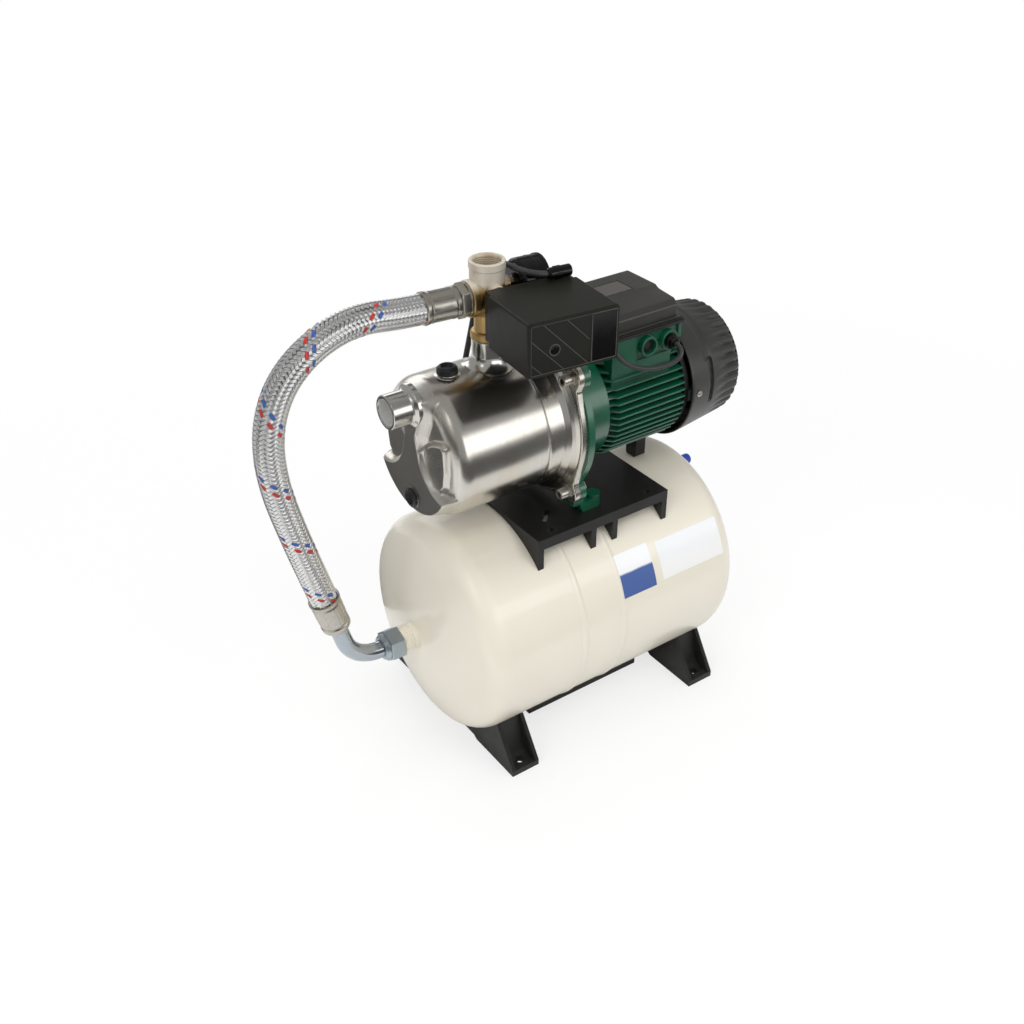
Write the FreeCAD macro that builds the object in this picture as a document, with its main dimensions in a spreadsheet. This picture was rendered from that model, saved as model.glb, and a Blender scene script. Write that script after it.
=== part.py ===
import FreeCAD, Part
import math
import operator
import os
import Sketcher
from FreeCAD import Placement, Rotation, Vector

# Booster pump set: a jet pump and its motor on a horizontal pressure vessel, with a
# five-way fitting, pressure switch, gauge and braided hose. Millimetres, +Z up, +X from
# the pump towards the motor fan. The origin is the centre of the foot bolts on the floor.

doc = FreeCAD.newDocument("BoosterPumpSet")
sheet = doc.addObject("Spreadsheet::Sheet", "Sizes")

DRIVING = {
    "Pressure vessel": {
        "tank_radius": 140, "tank_axis": 154.5, "tank_half_length": 161, "dome_depth": 52,
        "dome_knuckle": 32, "tank_wall": 2, "seam_height": 1.2, "seam_width": 7,
        "seam_front": -58, "seam_rear": 1, "inlet_reach": 30, "inlet_radius": 16.6,
        "inlet_bore": 12.8, "inlet_boss": 23, "inlet_boss_length": 9, "bladder_radius": 118,
        "bladder_half": 132, "bladder_depth": 44, "bladder_knuckle": 30, "bladder_wall": 2,
        "valve_y": 4, "valve_height": 97, "valve_boss_radius": 8, "valve_boss_end": 205,
        "valve_bore": 4.2, "valve_stem_end": 217, "valve_stem_inner": 188, "cap_radius": 7.4,
        "cap_length": 20, "cap_wall": 1.6,
    },
    "Feet and saddle": {
        "foot_span_x": 143.5, "foot_hole_y": 124.5, "foot_width": 39, "foot_toe": 138,
        "foot_plate": 8, "foot_hole": 5, "foot_web": 5, "foot_shin": 104, "foot_arch": 58,
        "foot_rise": 60, "foot_sweep": 18, "rail_front": -84, "rail_rear": 93, "rail_y": 58, "rail_width": 8,
        "rail_bottom": 4, "saddle_top": 298.5, "saddle_half_x": 97, "saddle_half_y": 95,
        "saddle_plate": 8, "saddle_web": 8, "centre_web_x": 16, "saddle_hole": 4.5,
        "saddle_hole_x": 72, "saddle_hole_y": 82, "slot_length": 26, "seat_gap": 0.3,
    },
    "Pump casing": {
        "pump_axis": 407, "casing_radius": 81.4, "casing_wall": 2, "casing_front": 193,
        "casing_knuckle": 20, "casing_groove": 70, "groove_depth": 2, "flange_front": 40,
        "flange_back": 32, "flange_radius": 104, "bolt_circle": 103, "ear_radius": 15,
        "bolt_hole": 4.3, "band_front": 204, "band_half": 17,
        "pad_front": 198, "bib_half": 60, "bib_drop": 34, "bib_curve": 44, "suction_height": 58,
        "suction_end": 232, "suction_radius": 19.5, "port_bore": 15.15, "neck_radius": 18.3,
        "neck_top": 518, "filler_x": 153, "filler_boss": 11.5, "filler_boss_top": 491.5,
        "filler_bore": 8.2, "drain_boss": 12.5, "drain_face": 204.3, "drain_bore": 6.2,
        "thread_play": 0.1,
    },
    "Pump inside": {
        "impeller_radius": 60, "impeller_eye": 19, "impeller_back": 62, "shroud": 3,
        "blade_height": 12, "hub_radius": 11, "vane_count": 6, "diffuser_radius": 74,
        "diffuser_front": 104, "ejector_radius": 21, "ejector_bore": 9, "seal_disc_radius": 85.7,
        "seal_disc": 4, "seal_radius": 14, "bore_play": 0.05,
    },
    "Motor": {
        "bracket_disc": 100, "bracket_plate": 8, "lantern_radius": 70, "frame_front": 21,
        "frame_rear": 133, "frame_core": 60, "frame_bore": 56.2, "fin_radius": 74,
        "fin_pitch": 8.4, "fin_thickness": 2.6, "fin_taper": 10, "keel_half": 24,
        "shaft_radius": 7.5, "shaft_nose": 6, "bearing_radius": 17.5, "bearing_width": 11,
        "front_bearing": 8, "rear_bearing": 141, "rotor_radius": 33.4, "air_gap": 0.6,
        "stack_front": 40, "stack_rear": 116, "shield_thickness": 6, "cover_lip": 139,
        "cover_rear": 226, "cover_front_radius": 81, "cover_rear_radius": 72, "cover_wall": 2.5,
        "cover_round": 9, "grille_slots": 24, "grille_inner": 24, "grille_outer": 58,
        "grille_slot": 5, "fan_radius": 64, "fan_front": 168, "fan_width": 22, "fan_blades": 8,
        "foot_reach": 13, "pump_foot_half": 75, "bracket_leg": 22, "shoe_front": 18,
        "shoe_height": 12, "shoe_bend": 16, "shoe_boss": 9, "shoe_rise": 4, "support_x": 125,
        "support_length": 16, "support_half": 9.5,
    },
    "Terminal box": {
        "box_front": 30, "box_half": 58, "box_base_top": 499,
        "box_floor": 477, "box_wall": 5, "gasket": 3, "gasket_step": 1.5, "lid_inset": 5,
        "lid_top": 530, "lid_wall": 2.5, "gland_x": 112, "blank_x": 81, "gland_height": 480.5,
        "gland_boss": 12, "gland_radius": 9.5, "gland_length": 10,
    },
    "Fitting, gauge and switch": {
        "tee_x": -99.6, "tee_turn": -6, "tee_top": 607, "tee_port": 567, "tee_small_port": 575,
        "tee_rim": 20, "tee_tube": 15, "tee_body": 17.5, "tee_collar": 19.2, "tee_side": 25,
        "tee_bore": 12, "small_boss": 10, "small_bore": 5.8, "gauge_start": 33,
        "gauge_length": 32, "gauge_radius": 26, "gauge_wall": 1.6, "switch_left": -21.5,
        "switch_width": 108, "switch_back": 42, "switch_depth": 84.2, "switch_bottom": 525.3,
        "switch_height": 60.5, "switch_wall": 2.4, "switch_base": 14.5,
    },
    "Hose and leads": {
        "hose_radius": 16.5, "hose_lean": 74.2, "nut_flats": 37, "nut_length": 12.5, "ferrule_start": 38.5,
        "ferrule_end": 78, "ferrule_radius": 17.4, "elbow_radius": 10.5, "elbow_bend": 46,
        "elbow_wall": 1.5, "tank_nut_length": 25, "lead_radius": 3.5, "small_lead_radius": 3,
        "coil_radius": 40, "coil_half_width": 7, "coil_height": 13.1, "coil_x": 40,
        "coil_y": 234.6, "plug_radius": 18, "plug_length": 34, "plug_tail": 14,
    },
}


class Size:
    # a number together with the spreadsheet expression that gives it
    def __init__(self, value, text):
        self.value = float(value)
        self.text = text

    def join(self, other, sign, swap=False):
        other = size(other)
        left, right = (other, self) if swap else (self, other)
        work = {"+": operator.add, "-": operator.sub, "*": operator.mul, "/": operator.truediv}
        return Size(work[sign](left.value, right.value), f"({left.text} {sign} {right.text})")

    def __add__(self, other):
        return self.join(other, "+")

    def __radd__(self, other):
        return self.join(other, "+", True)

    def __sub__(self, other):
        return self.join(other, "-")

    def __rsub__(self, other):
        return self.join(other, "-", True)

    def __mul__(self, other):
        return self.join(other, "*")

    def __rmul__(self, other):
        return self.join(other, "*", True)

    def __truediv__(self, other):
        return self.join(other, "/")

    def __neg__(self):
        return self.join(0, "-", True)


def size(number):
    return number if isinstance(number, Size) else Size(number, f"({float(number):.6f})")


def root(number):
    return Size(math.sqrt(number.value), f"sqrt({number.text})")


def cosine(angle):
    angle = size(angle)
    return Size(math.cos(math.radians(angle.value)), f"cos({angle.text})")


def sine(angle):
    angle = size(angle)
    return Size(math.sin(math.radians(angle.value)), f"sin({angle.text})")


class Sizes:
    pass


s = Sizes()
row = 1
for heading, group in DRIVING.items():
    sheet.set(f"A{row}", heading)
    row += 1
    for name, value in group.items():
        sheet.set(f"A{row}", name.replace("_", " "))
        sheet.set(f"B{row}", str(value))
        sheet.setAlias(f"B{row}", name)
        setattr(s, name, Size(value, f"Sizes.{name}"))
        row += 1
doc.recompute()

nodes = []


def keep(obj, label):
    obj.Label = label
    nodes.append(obj)
    return obj


def bind(obj, **sizes):
    for prop, number in sizes.items():
        obj.setExpression(prop, size(number).text)


def place(obj, x=0, y=0, z=0, turn=None, axis=Vector(0, 0, 1)):
    spin = size(turn) if turn is not None else None
    rotation = Rotation(axis, spin.value) if spin else obj.Placement.Rotation
    obj.Placement = Placement(Vector(size(x).value, size(y).value, size(z).value), rotation)
    for letter, number in zip("xyz", (x, y, z)):
        obj.setExpression(f"Placement.Base.{letter}", size(number).text)
    if spin:
        obj.setExpression("Placement.Rotation.Angle", spin.text)
    return obj


# sketches and body features are written with these


def new_body(label):
    return keep(doc.addObject("PartDesign::Body", label), label)


def origin_plane(body, role):
    return [f for f in body.Origin.OriginFeatures if f.Role == role][0]


def arc_middle(start, end, radius, side):
    chord = end - start
    half = chord.Length / 2
    normal = Vector(-chord.y, chord.x, 0).normalize() * side
    centre = (start + end) * 0.5 + normal * math.sqrt(max(radius ** 2 - half ** 2, 0))
    return centre - normal * radius


def draw(sketch, corners):
    # corners: (u, v) or (u, v, radius, side), where the side after it is an arc
    count = len(corners)
    spots = [Vector(size(c[0]).value, size(c[1]).value, 0) for c in corners]
    ends = []
    for i, corner in enumerate(corners):
        start, end = spots[i], spots[(i + 1) % count]
        if len(corner) == 4:
            middle = arc_middle(start, end, size(corner[2]).value, corner[3])
            edge = sketch.addGeometry(Part.Arc(start, middle, end))
            first = 1 if (sketch.getPoint(edge, 1) - start).Length < 1e-6 else 2
            rule = Sketcher.Constraint("Radius", edge, size(corner[2]).value)
            index = sketch.addConstraint(rule)
            sketch.setExpression(f"Constraints[{index}]", size(corner[2]).text)
        else:
            edge = sketch.addGeometry(Part.LineSegment(start, end))
            first = 1
        ends.append((edge, first, 3 - first))
    for i, corner in enumerate(corners):
        edge, first, _ = ends[i]
        before, _, last = ends[i - 1]
        sketch.addConstraint(Sketcher.Constraint("Coincident", before, last, edge, first))
        for kind, number in (("DistanceX", corner[0]), ("DistanceY", corner[1])):
            number = size(number)
            rule = Sketcher.Constraint(kind, -1, 1, edge, first, number.value)
            index = sketch.addConstraint(rule)
            sketch.setExpression(f"Constraints[{index}]", number.text)


def draw_circle(sketch, u, v, radius):
    centre = Vector(size(u).value, size(v).value, 0)
    edge = sketch.addGeometry(Part.Circle(centre, Vector(0, 0, 1), size(radius).value))
    rules = (("Radius", (edge,), radius), ("DistanceX", (-1, 1, edge, 3), u),
             ("DistanceY", (-1, 1, edge, 3), v))
    for kind, spots, number in rules:
        number = size(number)
        index = sketch.addConstraint(Sketcher.Constraint(kind, *spots, number.value))
        sketch.setExpression(f"Constraints[{index}]", number.text)


def new_sketch(body, role, offset=0):
    sketch = body.newObject("Sketcher::SketchObject", body.Label + "_sketch")
    sketch.AttachmentSupport = [(origin_plane(body, role), "")]
    sketch.MapMode = "FlatFace"
    offset = size(offset)
    sketch.AttachmentOffset = Placement(Vector(0, 0, offset.value), Rotation())
    sketch.setExpression("AttachmentOffset.Base.z", offset.text)
    return sketch


def turned(body, outline, axis="H_Axis", cutting=False):
    # outline: (along, radius) corners, turned about X (H_Axis) or, as (radius, height), about Z
    sketch = new_sketch(body, "XZ_Plane")
    draw(sketch, outline)
    kind = "PartDesign::Groove" if cutting else "PartDesign::Revolution"
    feature = body.newObject(kind, body.Label + "_turned")
    feature.Profile = sketch
    feature.ReferenceAxis = (sketch, [axis])
    feature.Angle = 360
    return feature


ROLES = {"X": ("YZ_Plane", 1), "Y": ("XZ_Plane", -1), "Z": ("XY_Plane", 1)}


def slab(body, axis, low, high, outlines=(), circles=(), cutting=False):
    # a pad or a pocket of flat outlines between two places along an axis of the body
    role, sign = ROLES[axis]
    middle = (size(low) + size(high)) / 2
    sketch = new_sketch(body, role, sign * middle)
    for outline in outlines:
        draw(sketch, outline)
    for circle in circles:
        draw_circle(sketch, *circle)
    feature = body.newObject("PartDesign::Pocket" if cutting else "PartDesign::Pad",
                             body.Label + ("_cut" if cutting else "_pad"))
    feature.Profile = sketch
    feature.Midplane = True
    bind(feature, Length=size(high) - size(low))
    return feature


def hexagon(flats, u=0, v=0):
    corner = size(flats) / math.sqrt(3)
    return [(u + corner * math.cos(math.radians(60 * k)), v + corner * math.sin(math.radians(60 * k)))
            for k in range(6)]


def rectangle(low_u, low_v, high_u, high_v):
    return [(low_u, low_v), (high_u, low_v), (high_u, high_v), (low_u, high_v)]


# plain solids and booleans


def cylinder(name, radius, length, x=0, y=0, z=0, axis="Z"):
    solid = doc.addObject("Part::Cylinder", name)
    turns = {"X": Rotation(Vector(0, 1, 0), 90), "Y": Rotation(Vector(1, 0, 0), -90), "Z": Rotation()}
    solid.Placement = Placement(Vector(), turns[axis])
    bind(solid, Radius=radius, Height=length)
    return place(solid, x, y, z)


def box(name, low, high):
    solid = doc.addObject("Part::Box", name)
    bind(solid, Length=size(high[0]) - low[0], Width=size(high[1]) - low[1], Height=size(high[2]) - low[2])
    return place(solid, *low)


def fused(name, solids):
    result = doc.addObject("Part::MultiFuse", name)
    result.Shapes = solids
    return result


def cut(name, base, tool):
    result = doc.addObject("Part::Cut", name)
    result.Base, result.Tool = base, tool
    return result


def common(name, solids):
    result = doc.addObject("Part::MultiCommon", name)
    result.Shapes = solids
    return result


def group(label, solids):
    result = doc.addObject("Part::Compound", label)
    result.Links = solids
    return keep(result, label)


# pressure vessel


def dome_corners(half, depth, knuckle, outer_radius, wall):
    # where the crown and knuckle arcs meet, for a dished end with the wall taken off
    rise = outer_radius - knuckle
    crown = (rise * rise + depth * depth - knuckle * knuckle) / (2 * (depth - knuckle))
    centre = half + depth - crown
    ratio = (crown - wall) / (crown - knuckle)
    return centre, crown - wall, centre + (half - centre) * ratio, rise * ratio, knuckle - wall


def vessel_outline(half, depth, knuckle, radius, wall, neck, bore, neck_end, boss, boss_end, bands):
    centre, crown, meet, meet_r, bend = dome_corners(half, depth, knuckle, radius, size(0))
    _, in_crown, in_meet, in_meet_r, in_bend = dome_corners(half, depth, knuckle, radius, wall)
    face = centre + root(crown * crown - boss * boss)
    in_face = centre + root(in_crown * in_crown - bore * bore)
    outline = [(-neck_end, bore), (-neck_end, neck), (-boss_end, neck), (-boss_end, boss),
               (-face, boss, crown, 1 * ARC), (-meet, meet_r, bend, 1 * ARC), (-half, radius)]
    for low, high, step in bands:
        outline += [(low, radius), (low, radius + step), (high, radius + step), (high, radius)]
    outline += [(half, radius, bend, ARC), (meet, meet_r, crown, ARC), (half + depth, 0),
                (half + depth - wall, 0, in_crown, -ARC), (in_meet, in_meet_r, in_bend, -ARC),
                (half, radius - wall), (-half, radius - wall, in_bend, -ARC),
                (-in_meet, in_meet_r, in_crown, -ARC), (-in_face, bore)]
    return outline


ARC = -1


def tank_shell():
    body = new_body("tank_shell")
    bands = [(s.seam_front - s.seam_width / 2, s.seam_front + s.seam_width / 2, s.seam_height),
             (s.seam_rear - s.seam_width / 2, s.seam_rear + s.seam_width / 2, s.seam_height)]
    face = s.tank_half_length + s.dome_depth
    turned(body, vessel_outline(s.tank_half_length, s.dome_depth, s.dome_knuckle, s.tank_radius,
                                s.tank_wall, s.inlet_radius, s.inlet_bore, face + s.inlet_reach,
                                s.inlet_boss, face + s.inlet_boss_length, bands))
    slab(body, "X", s.valve_stem_inner + 4, s.valve_boss_end,
         circles=[(s.valve_y, s.valve_height, s.valve_boss_radius)])
    slab(body, "X", s.valve_stem_inner - 6, s.valve_boss_end + 2,
         circles=[(s.valve_y, s.valve_height, s.valve_bore)], cutting=True)
    return place(body, z=s.tank_axis)


def tank_bladder():
    body = new_body("tank_bladder")
    neck = s.inlet_bore - 0.3
    reach = s.tank_half_length + s.dome_depth + s.inlet_reach - 4
    half, depth, radius = s.bladder_half, s.bladder_depth, s.bladder_radius
    centre, crown, meet, meet_r, bend = dome_corners(half, depth, s.bladder_knuckle, radius, size(0))
    _, in_crown, in_meet, in_meet_r, in_bend = dome_corners(half, depth, s.bladder_knuckle, radius,
                                                            s.bladder_wall)
    face = centre + root(crown * crown - neck * neck)
    bore = neck - s.bladder_wall
    in_face = centre + root(in_crown * in_crown - bore * bore)
    turned(body, [(-reach, bore), (-reach, neck), (-face, neck, crown, ARC),
                  (-meet, meet_r, bend, ARC), (-half, radius), (half, radius, bend, ARC),
                  (meet, meet_r, crown, ARC), (half + depth, 0),
                  (half + depth - s.bladder_wall, 0, in_crown, -ARC),
                  (in_meet, in_meet_r, in_bend, -ARC), (half, radius - s.bladder_wall),
                  (-half, radius - s.bladder_wall, in_bend, -ARC),
                  (-in_meet, in_meet_r, in_crown, -ARC), (-in_face, bore)])
    return place(body, z=s.tank_axis)


def air_valve():
    stem = new_body("air_valve_stem")
    seat = s.valve_bore - 0.1
    turned(stem, [(s.valve_stem_inner, 0), (s.valve_stem_inner, seat), (s.valve_boss_end, seat),
                  (s.valve_boss_end, seat + 1.2), (s.valve_boss_end + 3, seat + 1.2),
                  (s.valve_boss_end + 3, seat), (s.valve_stem_end, seat), (s.valve_stem_end, 0)])
    place(stem, 0, s.valve_y, s.tank_axis + s.valve_height)
    cap = new_body("air_valve_cap")
    low, high = s.valve_boss_end + 0.3, s.valve_boss_end + s.cap_length
    inner = s.cap_radius - s.cap_wall
    turned(cap, [(low, inner), (low, s.cap_radius), (high - 3, s.cap_radius - 0.6, 3, -ARC * -1),
                 (high, s.cap_radius - 3.2), (high, 0), (high - 4, 0), (high - 4, inner)])
    place(cap, 0, s.valve_y, s.tank_axis + s.valve_height)


# feet, rails and saddle


def foot(label, centre_x):
    body = new_body(label)
    half = s.foot_width / 2
    contact = s.tank_radius + s.seat_gap
    drop = s.tank_axis - root(contact * contact - s.foot_shin * s.foot_shin)
    sides = [(-s.foot_toe, 0), (-s.foot_toe, s.foot_plate), (-s.foot_shin, drop, contact, -ARC),
             (s.foot_shin, drop), (s.foot_toe, s.foot_plate), (s.foot_toe, 0), (s.foot_arch, 0),
             (s.foot_arch - 6, s.foot_plate / 2), (-s.foot_arch + 6, s.foot_plate / 2),
             (-s.foot_arch, 0)]
    slab(body, "X", -half, half, [sides])
    for side in (-1, 1):
        hollow = [(side * (s.foot_toe + 4), s.foot_plate),
                  (side * (s.foot_toe - 12), s.foot_plate, s.foot_sweep, side * ARC),
                  (side * (s.foot_toe - 29), s.foot_plate + 16),
                  (side * (s.foot_shin - 4), drop + 2), (side * (s.foot_toe + 4), drop + 12)]
        slab(body, "X", -half + s.foot_web, half - s.foot_web, [hollow], cutting=True)
    holes = [(0, side * s.foot_hole_y, s.foot_hole) for side in (-1, 1)]
    slab(body, "Z", -2, s.foot_plate + 4, circles=holes, cutting=True)
    return place(body, x=centre_x)


def belly_rails():
    bars = []
    for name, side in (("front", -1), ("rear", 1)):
        low_y = side * s.rail_y - s.rail_width / 2
        bar = box(f"rail_{name}_bar", (s.rail_front, low_y, s.rail_bottom),
                  (s.rail_rear, low_y + s.rail_width, 34))
        contact = s.tank_radius + s.seat_gap
        drums = [cylinder(f"rail_{name}_drum", contact, 400, -200, 0, s.tank_axis, "X")]
        for i, seam in enumerate((s.seam_front, s.seam_rear)):
            drums.append(cylinder(f"rail_{name}_seam_{i}", contact + s.seam_height, s.seam_width + 2,
                                  seam - s.seam_width / 2 - 1, 0, s.tank_axis, "X"))
        bars.append(cut(f"rail_{name}", bar, fused(f"rail_{name}_drums", drums)))
    return group("belly_rails", bars)


def saddle():
    body = new_body("saddle")
    half_x, half_y, web = s.saddle_half_x, s.saddle_half_y, s.saddle_web
    contact = s.tank_radius + s.seat_gap
    edge = root(contact * contact - half_y * half_y)
    top = s.saddle_top - s.tank_axis
    plate = [(-half_y, top - s.saddle_plate), (-half_y, top), (half_y, top), (half_y, top - s.saddle_plate)]
    slab(body, "X", -half_x, half_x, [plate])
    web_outline = [(-half_y, edge - 1), (-half_y, top - 1), (half_y, top - 1), (half_y, edge - 1)]
    for low in (-half_x, -s.centre_web_x - web / 2, s.centre_web_x - web / 2, half_x - web):
        slab(body, "X", low, low + web, [web_outline])
    slab(body, "Y", -half_y, -half_y + web / 2, [rectangle(-half_x, top - 14, half_x, top - 1)])
    slab(body, "Y", half_y - web / 2, half_y, [rectangle(-half_x, top - 14, half_x, top - 1)])
    slab(body, "X", -half_x - 2, half_x + 2, circles=[(0, 0, contact)], cutting=True)
    for seam in (s.seam_front, s.seam_rear):
        low, high = seam - s.seam_width / 2 - 1, seam + s.seam_width / 2 + 1
        slab(body, "X", low, high, circles=[(0, 0, contact + s.seam_height)], cutting=True)
    holes = [(sx * s.saddle_hole_x, sy * s.saddle_hole_y, s.saddle_hole)
             for sx in (-1, 1) for sy in (-1, 1)]
    slab(body, "Z", top - 40, top + 4, circles=holes, cutting=True)
    slots = []
    for side in (-1, 1):
        along = s.slot_length / 2 * math.cos(math.radians(45))
        wide = 3 * math.cos(math.radians(45))
        x, y = -58, side * 55
        slots.append([(x + along + wide, y - side * (along - wide)), (x + along - wide, y - side * (along + wide)),
                      (x - along - wide, y + side * (along - wide)), (x - along + wide, y + side * (along + wide))])
    slab(body, "Z", top - 40, top + 4, slots, cutting=True)
    bolts = [(s.foot_reach - 10, side * (s.pump_foot_half - 9), s.saddle_hole) for side in (-1, 1)]
    slab(body, "Z", top - 40, top + 4, circles=bolts, cutting=True)
    return place(body, z=s.tank_axis)


def hex_screw(name, x, y, seat, length, shank, head, head_height):
    # the head hangs under its seat and the shank stands up from it
    screw = doc.addObject("Part::Prism", name + "_head")
    screw.Polygon = 6
    bind(screw, Circumradius=size(head) / math.sqrt(3), Height=head_height)
    place(screw, x, y, size(seat) - head_height)
    stem = cylinder(name + "_shank", shank, length, x, y, size(seat) - 0.5)
    return fused(name, [screw, stem])


def pump_foot_screws():
    # driven up through the saddle into the blind holes of the bracket's shoes
    screws = [hex_screw(f"foot_screw_{i}", s.foot_reach - 10, side * (s.pump_foot_half - 9),
                        s.saddle_top - s.saddle_plate, s.saddle_plate + s.shoe_height - 1, 3.9, 13, 5)
              for i, side in enumerate((-1, 1))]
    return group("pump_foot_screws", screws)


# pump casing and what it holds


def pump_casing():
    body = new_body("pump_casing")
    radius, wall, bend = s.casing_radius, s.casing_wall, s.casing_knuckle
    groove, dip = s.casing_groove, s.groove_depth
    turned(body, [(-s.casing_front, 0), (-s.casing_front, radius - bend, bend, ARC),
                  (-s.casing_front + bend, radius), (-groove - 3, radius), (-groove - 1, radius - dip),
                  (-groove + 1, radius - dip), (-groove + 3, radius), (-s.flange_front - 9, radius),
                  (-s.flange_front - 4, radius + 7), (-s.flange_front, radius + 10),
                  (-s.flange_front, s.flange_radius), (-s.flange_back, s.flange_radius),
                  (-s.flange_back, 0)])
    low, high = -s.band_front, -s.casing_front + 7
    half = s.band_half
    rim = root(s.bib_half * s.bib_half + s.bib_drop * s.bib_drop)
    crest = root((radius - 5) * (radius - 5) - 26 * 26)
    band = [(-half, 0), (-half, 28), (-26, 44), (-26, crest, radius - 5, ARC), (26, crest), (26, 44),
            (half, 28), (half, 0, s.bib_curve, ARC * -1), (s.bib_half, -s.bib_drop, rim, ARC),
            (-s.bib_half, -s.bib_drop, s.bib_curve, ARC * -1)]
    slab(body, "X", low, high, [band])
    for side in (-1, 1):
        pad = [(side * (half - 1), 4), (side * (half + 6), 21), (side * 47, 30), (side * 57, 22),
               (side * (s.bib_half - 2), -s.bib_drop), (side * (half - 1), -s.bib_drop)]
        slab(body, "X", -s.pad_front, high, [pad])
    slab(body, "X", -s.suction_end, high, circles=[(0, s.suction_height, s.suction_radius)])
    slab(body, "X", -s.drain_face, high, circles=[(0, -s.suction_height, s.drain_boss)])
    slab(body, "Z", radius - 22, s.neck_top - s.pump_axis, circles=[(s.tee_x, 0, s.neck_radius)])
    slab(body, "Z", radius - 12, s.filler_boss_top - s.pump_axis, circles=[(-s.filler_x, 0, s.filler_boss)])
    spot = s.bolt_circle * math.cos(math.radians(45))
    ears = [(sy * spot, sz * spot) for sy in (-1, 1) for sz in (-1, 1)]
    for y, z in ears:
        slab(body, "X", -s.flange_front, -s.flange_back, circles=[(y, z, s.ear_radius)])
    inner = radius - wall
    turned(body, [(-s.casing_front + wall, 0), (-s.casing_front + wall, radius - bend, bend - wall, ARC),
                  (-s.casing_front + bend, inner), (-groove - 4, inner), (-groove - 2, inner - dip),
                  (-groove + 2, inner - dip), (-groove + 4, inner), (-s.flange_front - 8, inner),
                  (-s.flange_front - 3, s.seal_disc_radius + 0.3),
                  (-s.flange_back, s.seal_disc_radius + 0.3), (-s.flange_back, 0)], cutting=True)
    slab(body, "X", -s.suction_end - 2, -s.casing_front + 6,
         circles=[(0, s.suction_height, s.port_bore)], cutting=True)
    slab(body, "X", -s.drain_face - 2, -s.casing_front + 6,
         circles=[(0, -s.suction_height, s.drain_bore)], cutting=True)
    slab(body, "Z", radius - 26, s.neck_top - s.pump_axis + 2,
         circles=[(s.tee_x, 0, s.neck_radius - 1.6)], cutting=True)
    slab(body, "Z", radius - 16, s.filler_boss_top - s.pump_axis + 2,
         circles=[(-s.filler_x, 0, s.filler_bore)], cutting=True)
    slab(body, "X", -s.flange_front - 2, -s.flange_back + 2,
         circles=[(y, z, s.bolt_hole) for y, z in ears], cutting=True)
    return place(body, z=s.pump_axis)


def threaded_plug(label, seat, bore, head, head_height, length, recess):
    # seat: the height of the face it closes, along Z of its own body
    body = new_body(label)
    turned(body, [(0, seat - length), (bore - s.thread_play, seat - length), (bore - s.thread_play, seat),
                  (head - 1, seat), (head, seat + 1), (head, seat + head_height - 1.5),
                  (head - 1.5, seat + head_height), (0, seat + head_height)], "V_Axis")
    slab(body, "Z", seat + head_height - recess, seat + head_height + 2, [hexagon(10)], cutting=True)
    return body


def plugs():
    filler = threaded_plug("filler_plug", s.filler_boss_top - s.pump_axis, s.filler_bore, 12, 7, 9, 4)
    place(filler, -s.filler_x, 0, s.pump_axis)
    drain = threaded_plug("drain_plug", s.drain_face, s.drain_bore, 12, 4.5, 9, 2.5)
    place(drain, 0, 0, s.pump_axis - s.suction_height, -90, Vector(0, 1, 0))


def diffuser():
    body = new_body("diffuser")
    front, back = -s.diffuser_front, -s.flange_back - s.seal_disc - 0.3
    outer, wall = s.diffuser_radius, 3
    turned(body, [(front, s.impeller_eye + 1), (front, outer), (back, outer), (back, outer - wall),
                  (front + wall, outer - wall), (front + wall, s.impeller_eye + 1)])
    for k in range(4):
        angle = 45 + 90 * k
        along, across = math.cos(math.radians(angle)), math.sin(math.radians(angle))
        rim, root_r = outer - wall / 2, s.impeller_radius + 3
        low, high = root_r * along, rim * along
        low_z, high_z = root_r * across, rim * across
        rib = [(low - across * 1.5, low_z + along * 1.5), (high - across * 1.5, high_z + along * 1.5),
               (high + across * 1.5, high_z - along * 1.5), (low + across * 1.5, low_z - along * 1.5)]
        slab(body, "X", front + wall / 2, back, [rib])
    return place(body, z=s.pump_axis)


def ejector():
    body = new_body("ejector")
    front, back = -s.casing_front + s.casing_wall + 0.3, -s.diffuser_front
    outer, bore = s.ejector_radius, s.ejector_bore
    turned(body, [(front, bore - 3), (front, outer - 6), (front + 30, outer - 8), (back - 12, outer),
                  (back, outer), (back, s.impeller_eye - 3), (back - 20, bore), (front + 34, bore - 3)])
    return place(body, z=s.pump_axis)


def impeller():
    body = new_body("impeller")
    back = -s.impeller_back
    gap = s.blade_height
    radius, eye, hub, plate = s.impeller_radius, s.impeller_eye, s.hub_radius, s.shroud
    front = back - plate - gap - plate
    nose = s.shaft_nose + s.bore_play
    turned(body, [(back + 6, nose), (back + 6, hub), (back, hub), (back, radius), (back - plate, radius),
                  (back - plate, hub + 3), (back - plate - gap, hub), (back - plate - gap - 4, hub),
                  (back - plate - gap - 4, nose)])
    turned(body, [(front, eye), (front, eye + 5), (front + 0.8, radius), (front + plate, radius),
                  (front + plate, eye)])
    count = int(s.vane_count.value)
    for k in range(count):
        turn = 360 * k / count
        inner, outer = hub - 1, radius - 0.5

        def spot(reach, angle):
            return reach * math.cos(math.radians(angle + turn)), reach * math.sin(math.radians(angle + turn))

        blade = [spot(inner, 0) + (46, 1), spot(outer, 62), spot(outer, 67) + (46, -1), spot(inner, 14)]
        slab(body, "X", front + plate / 2, back - plate / 2, [blade])
    return place(body, z=s.pump_axis)


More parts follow.
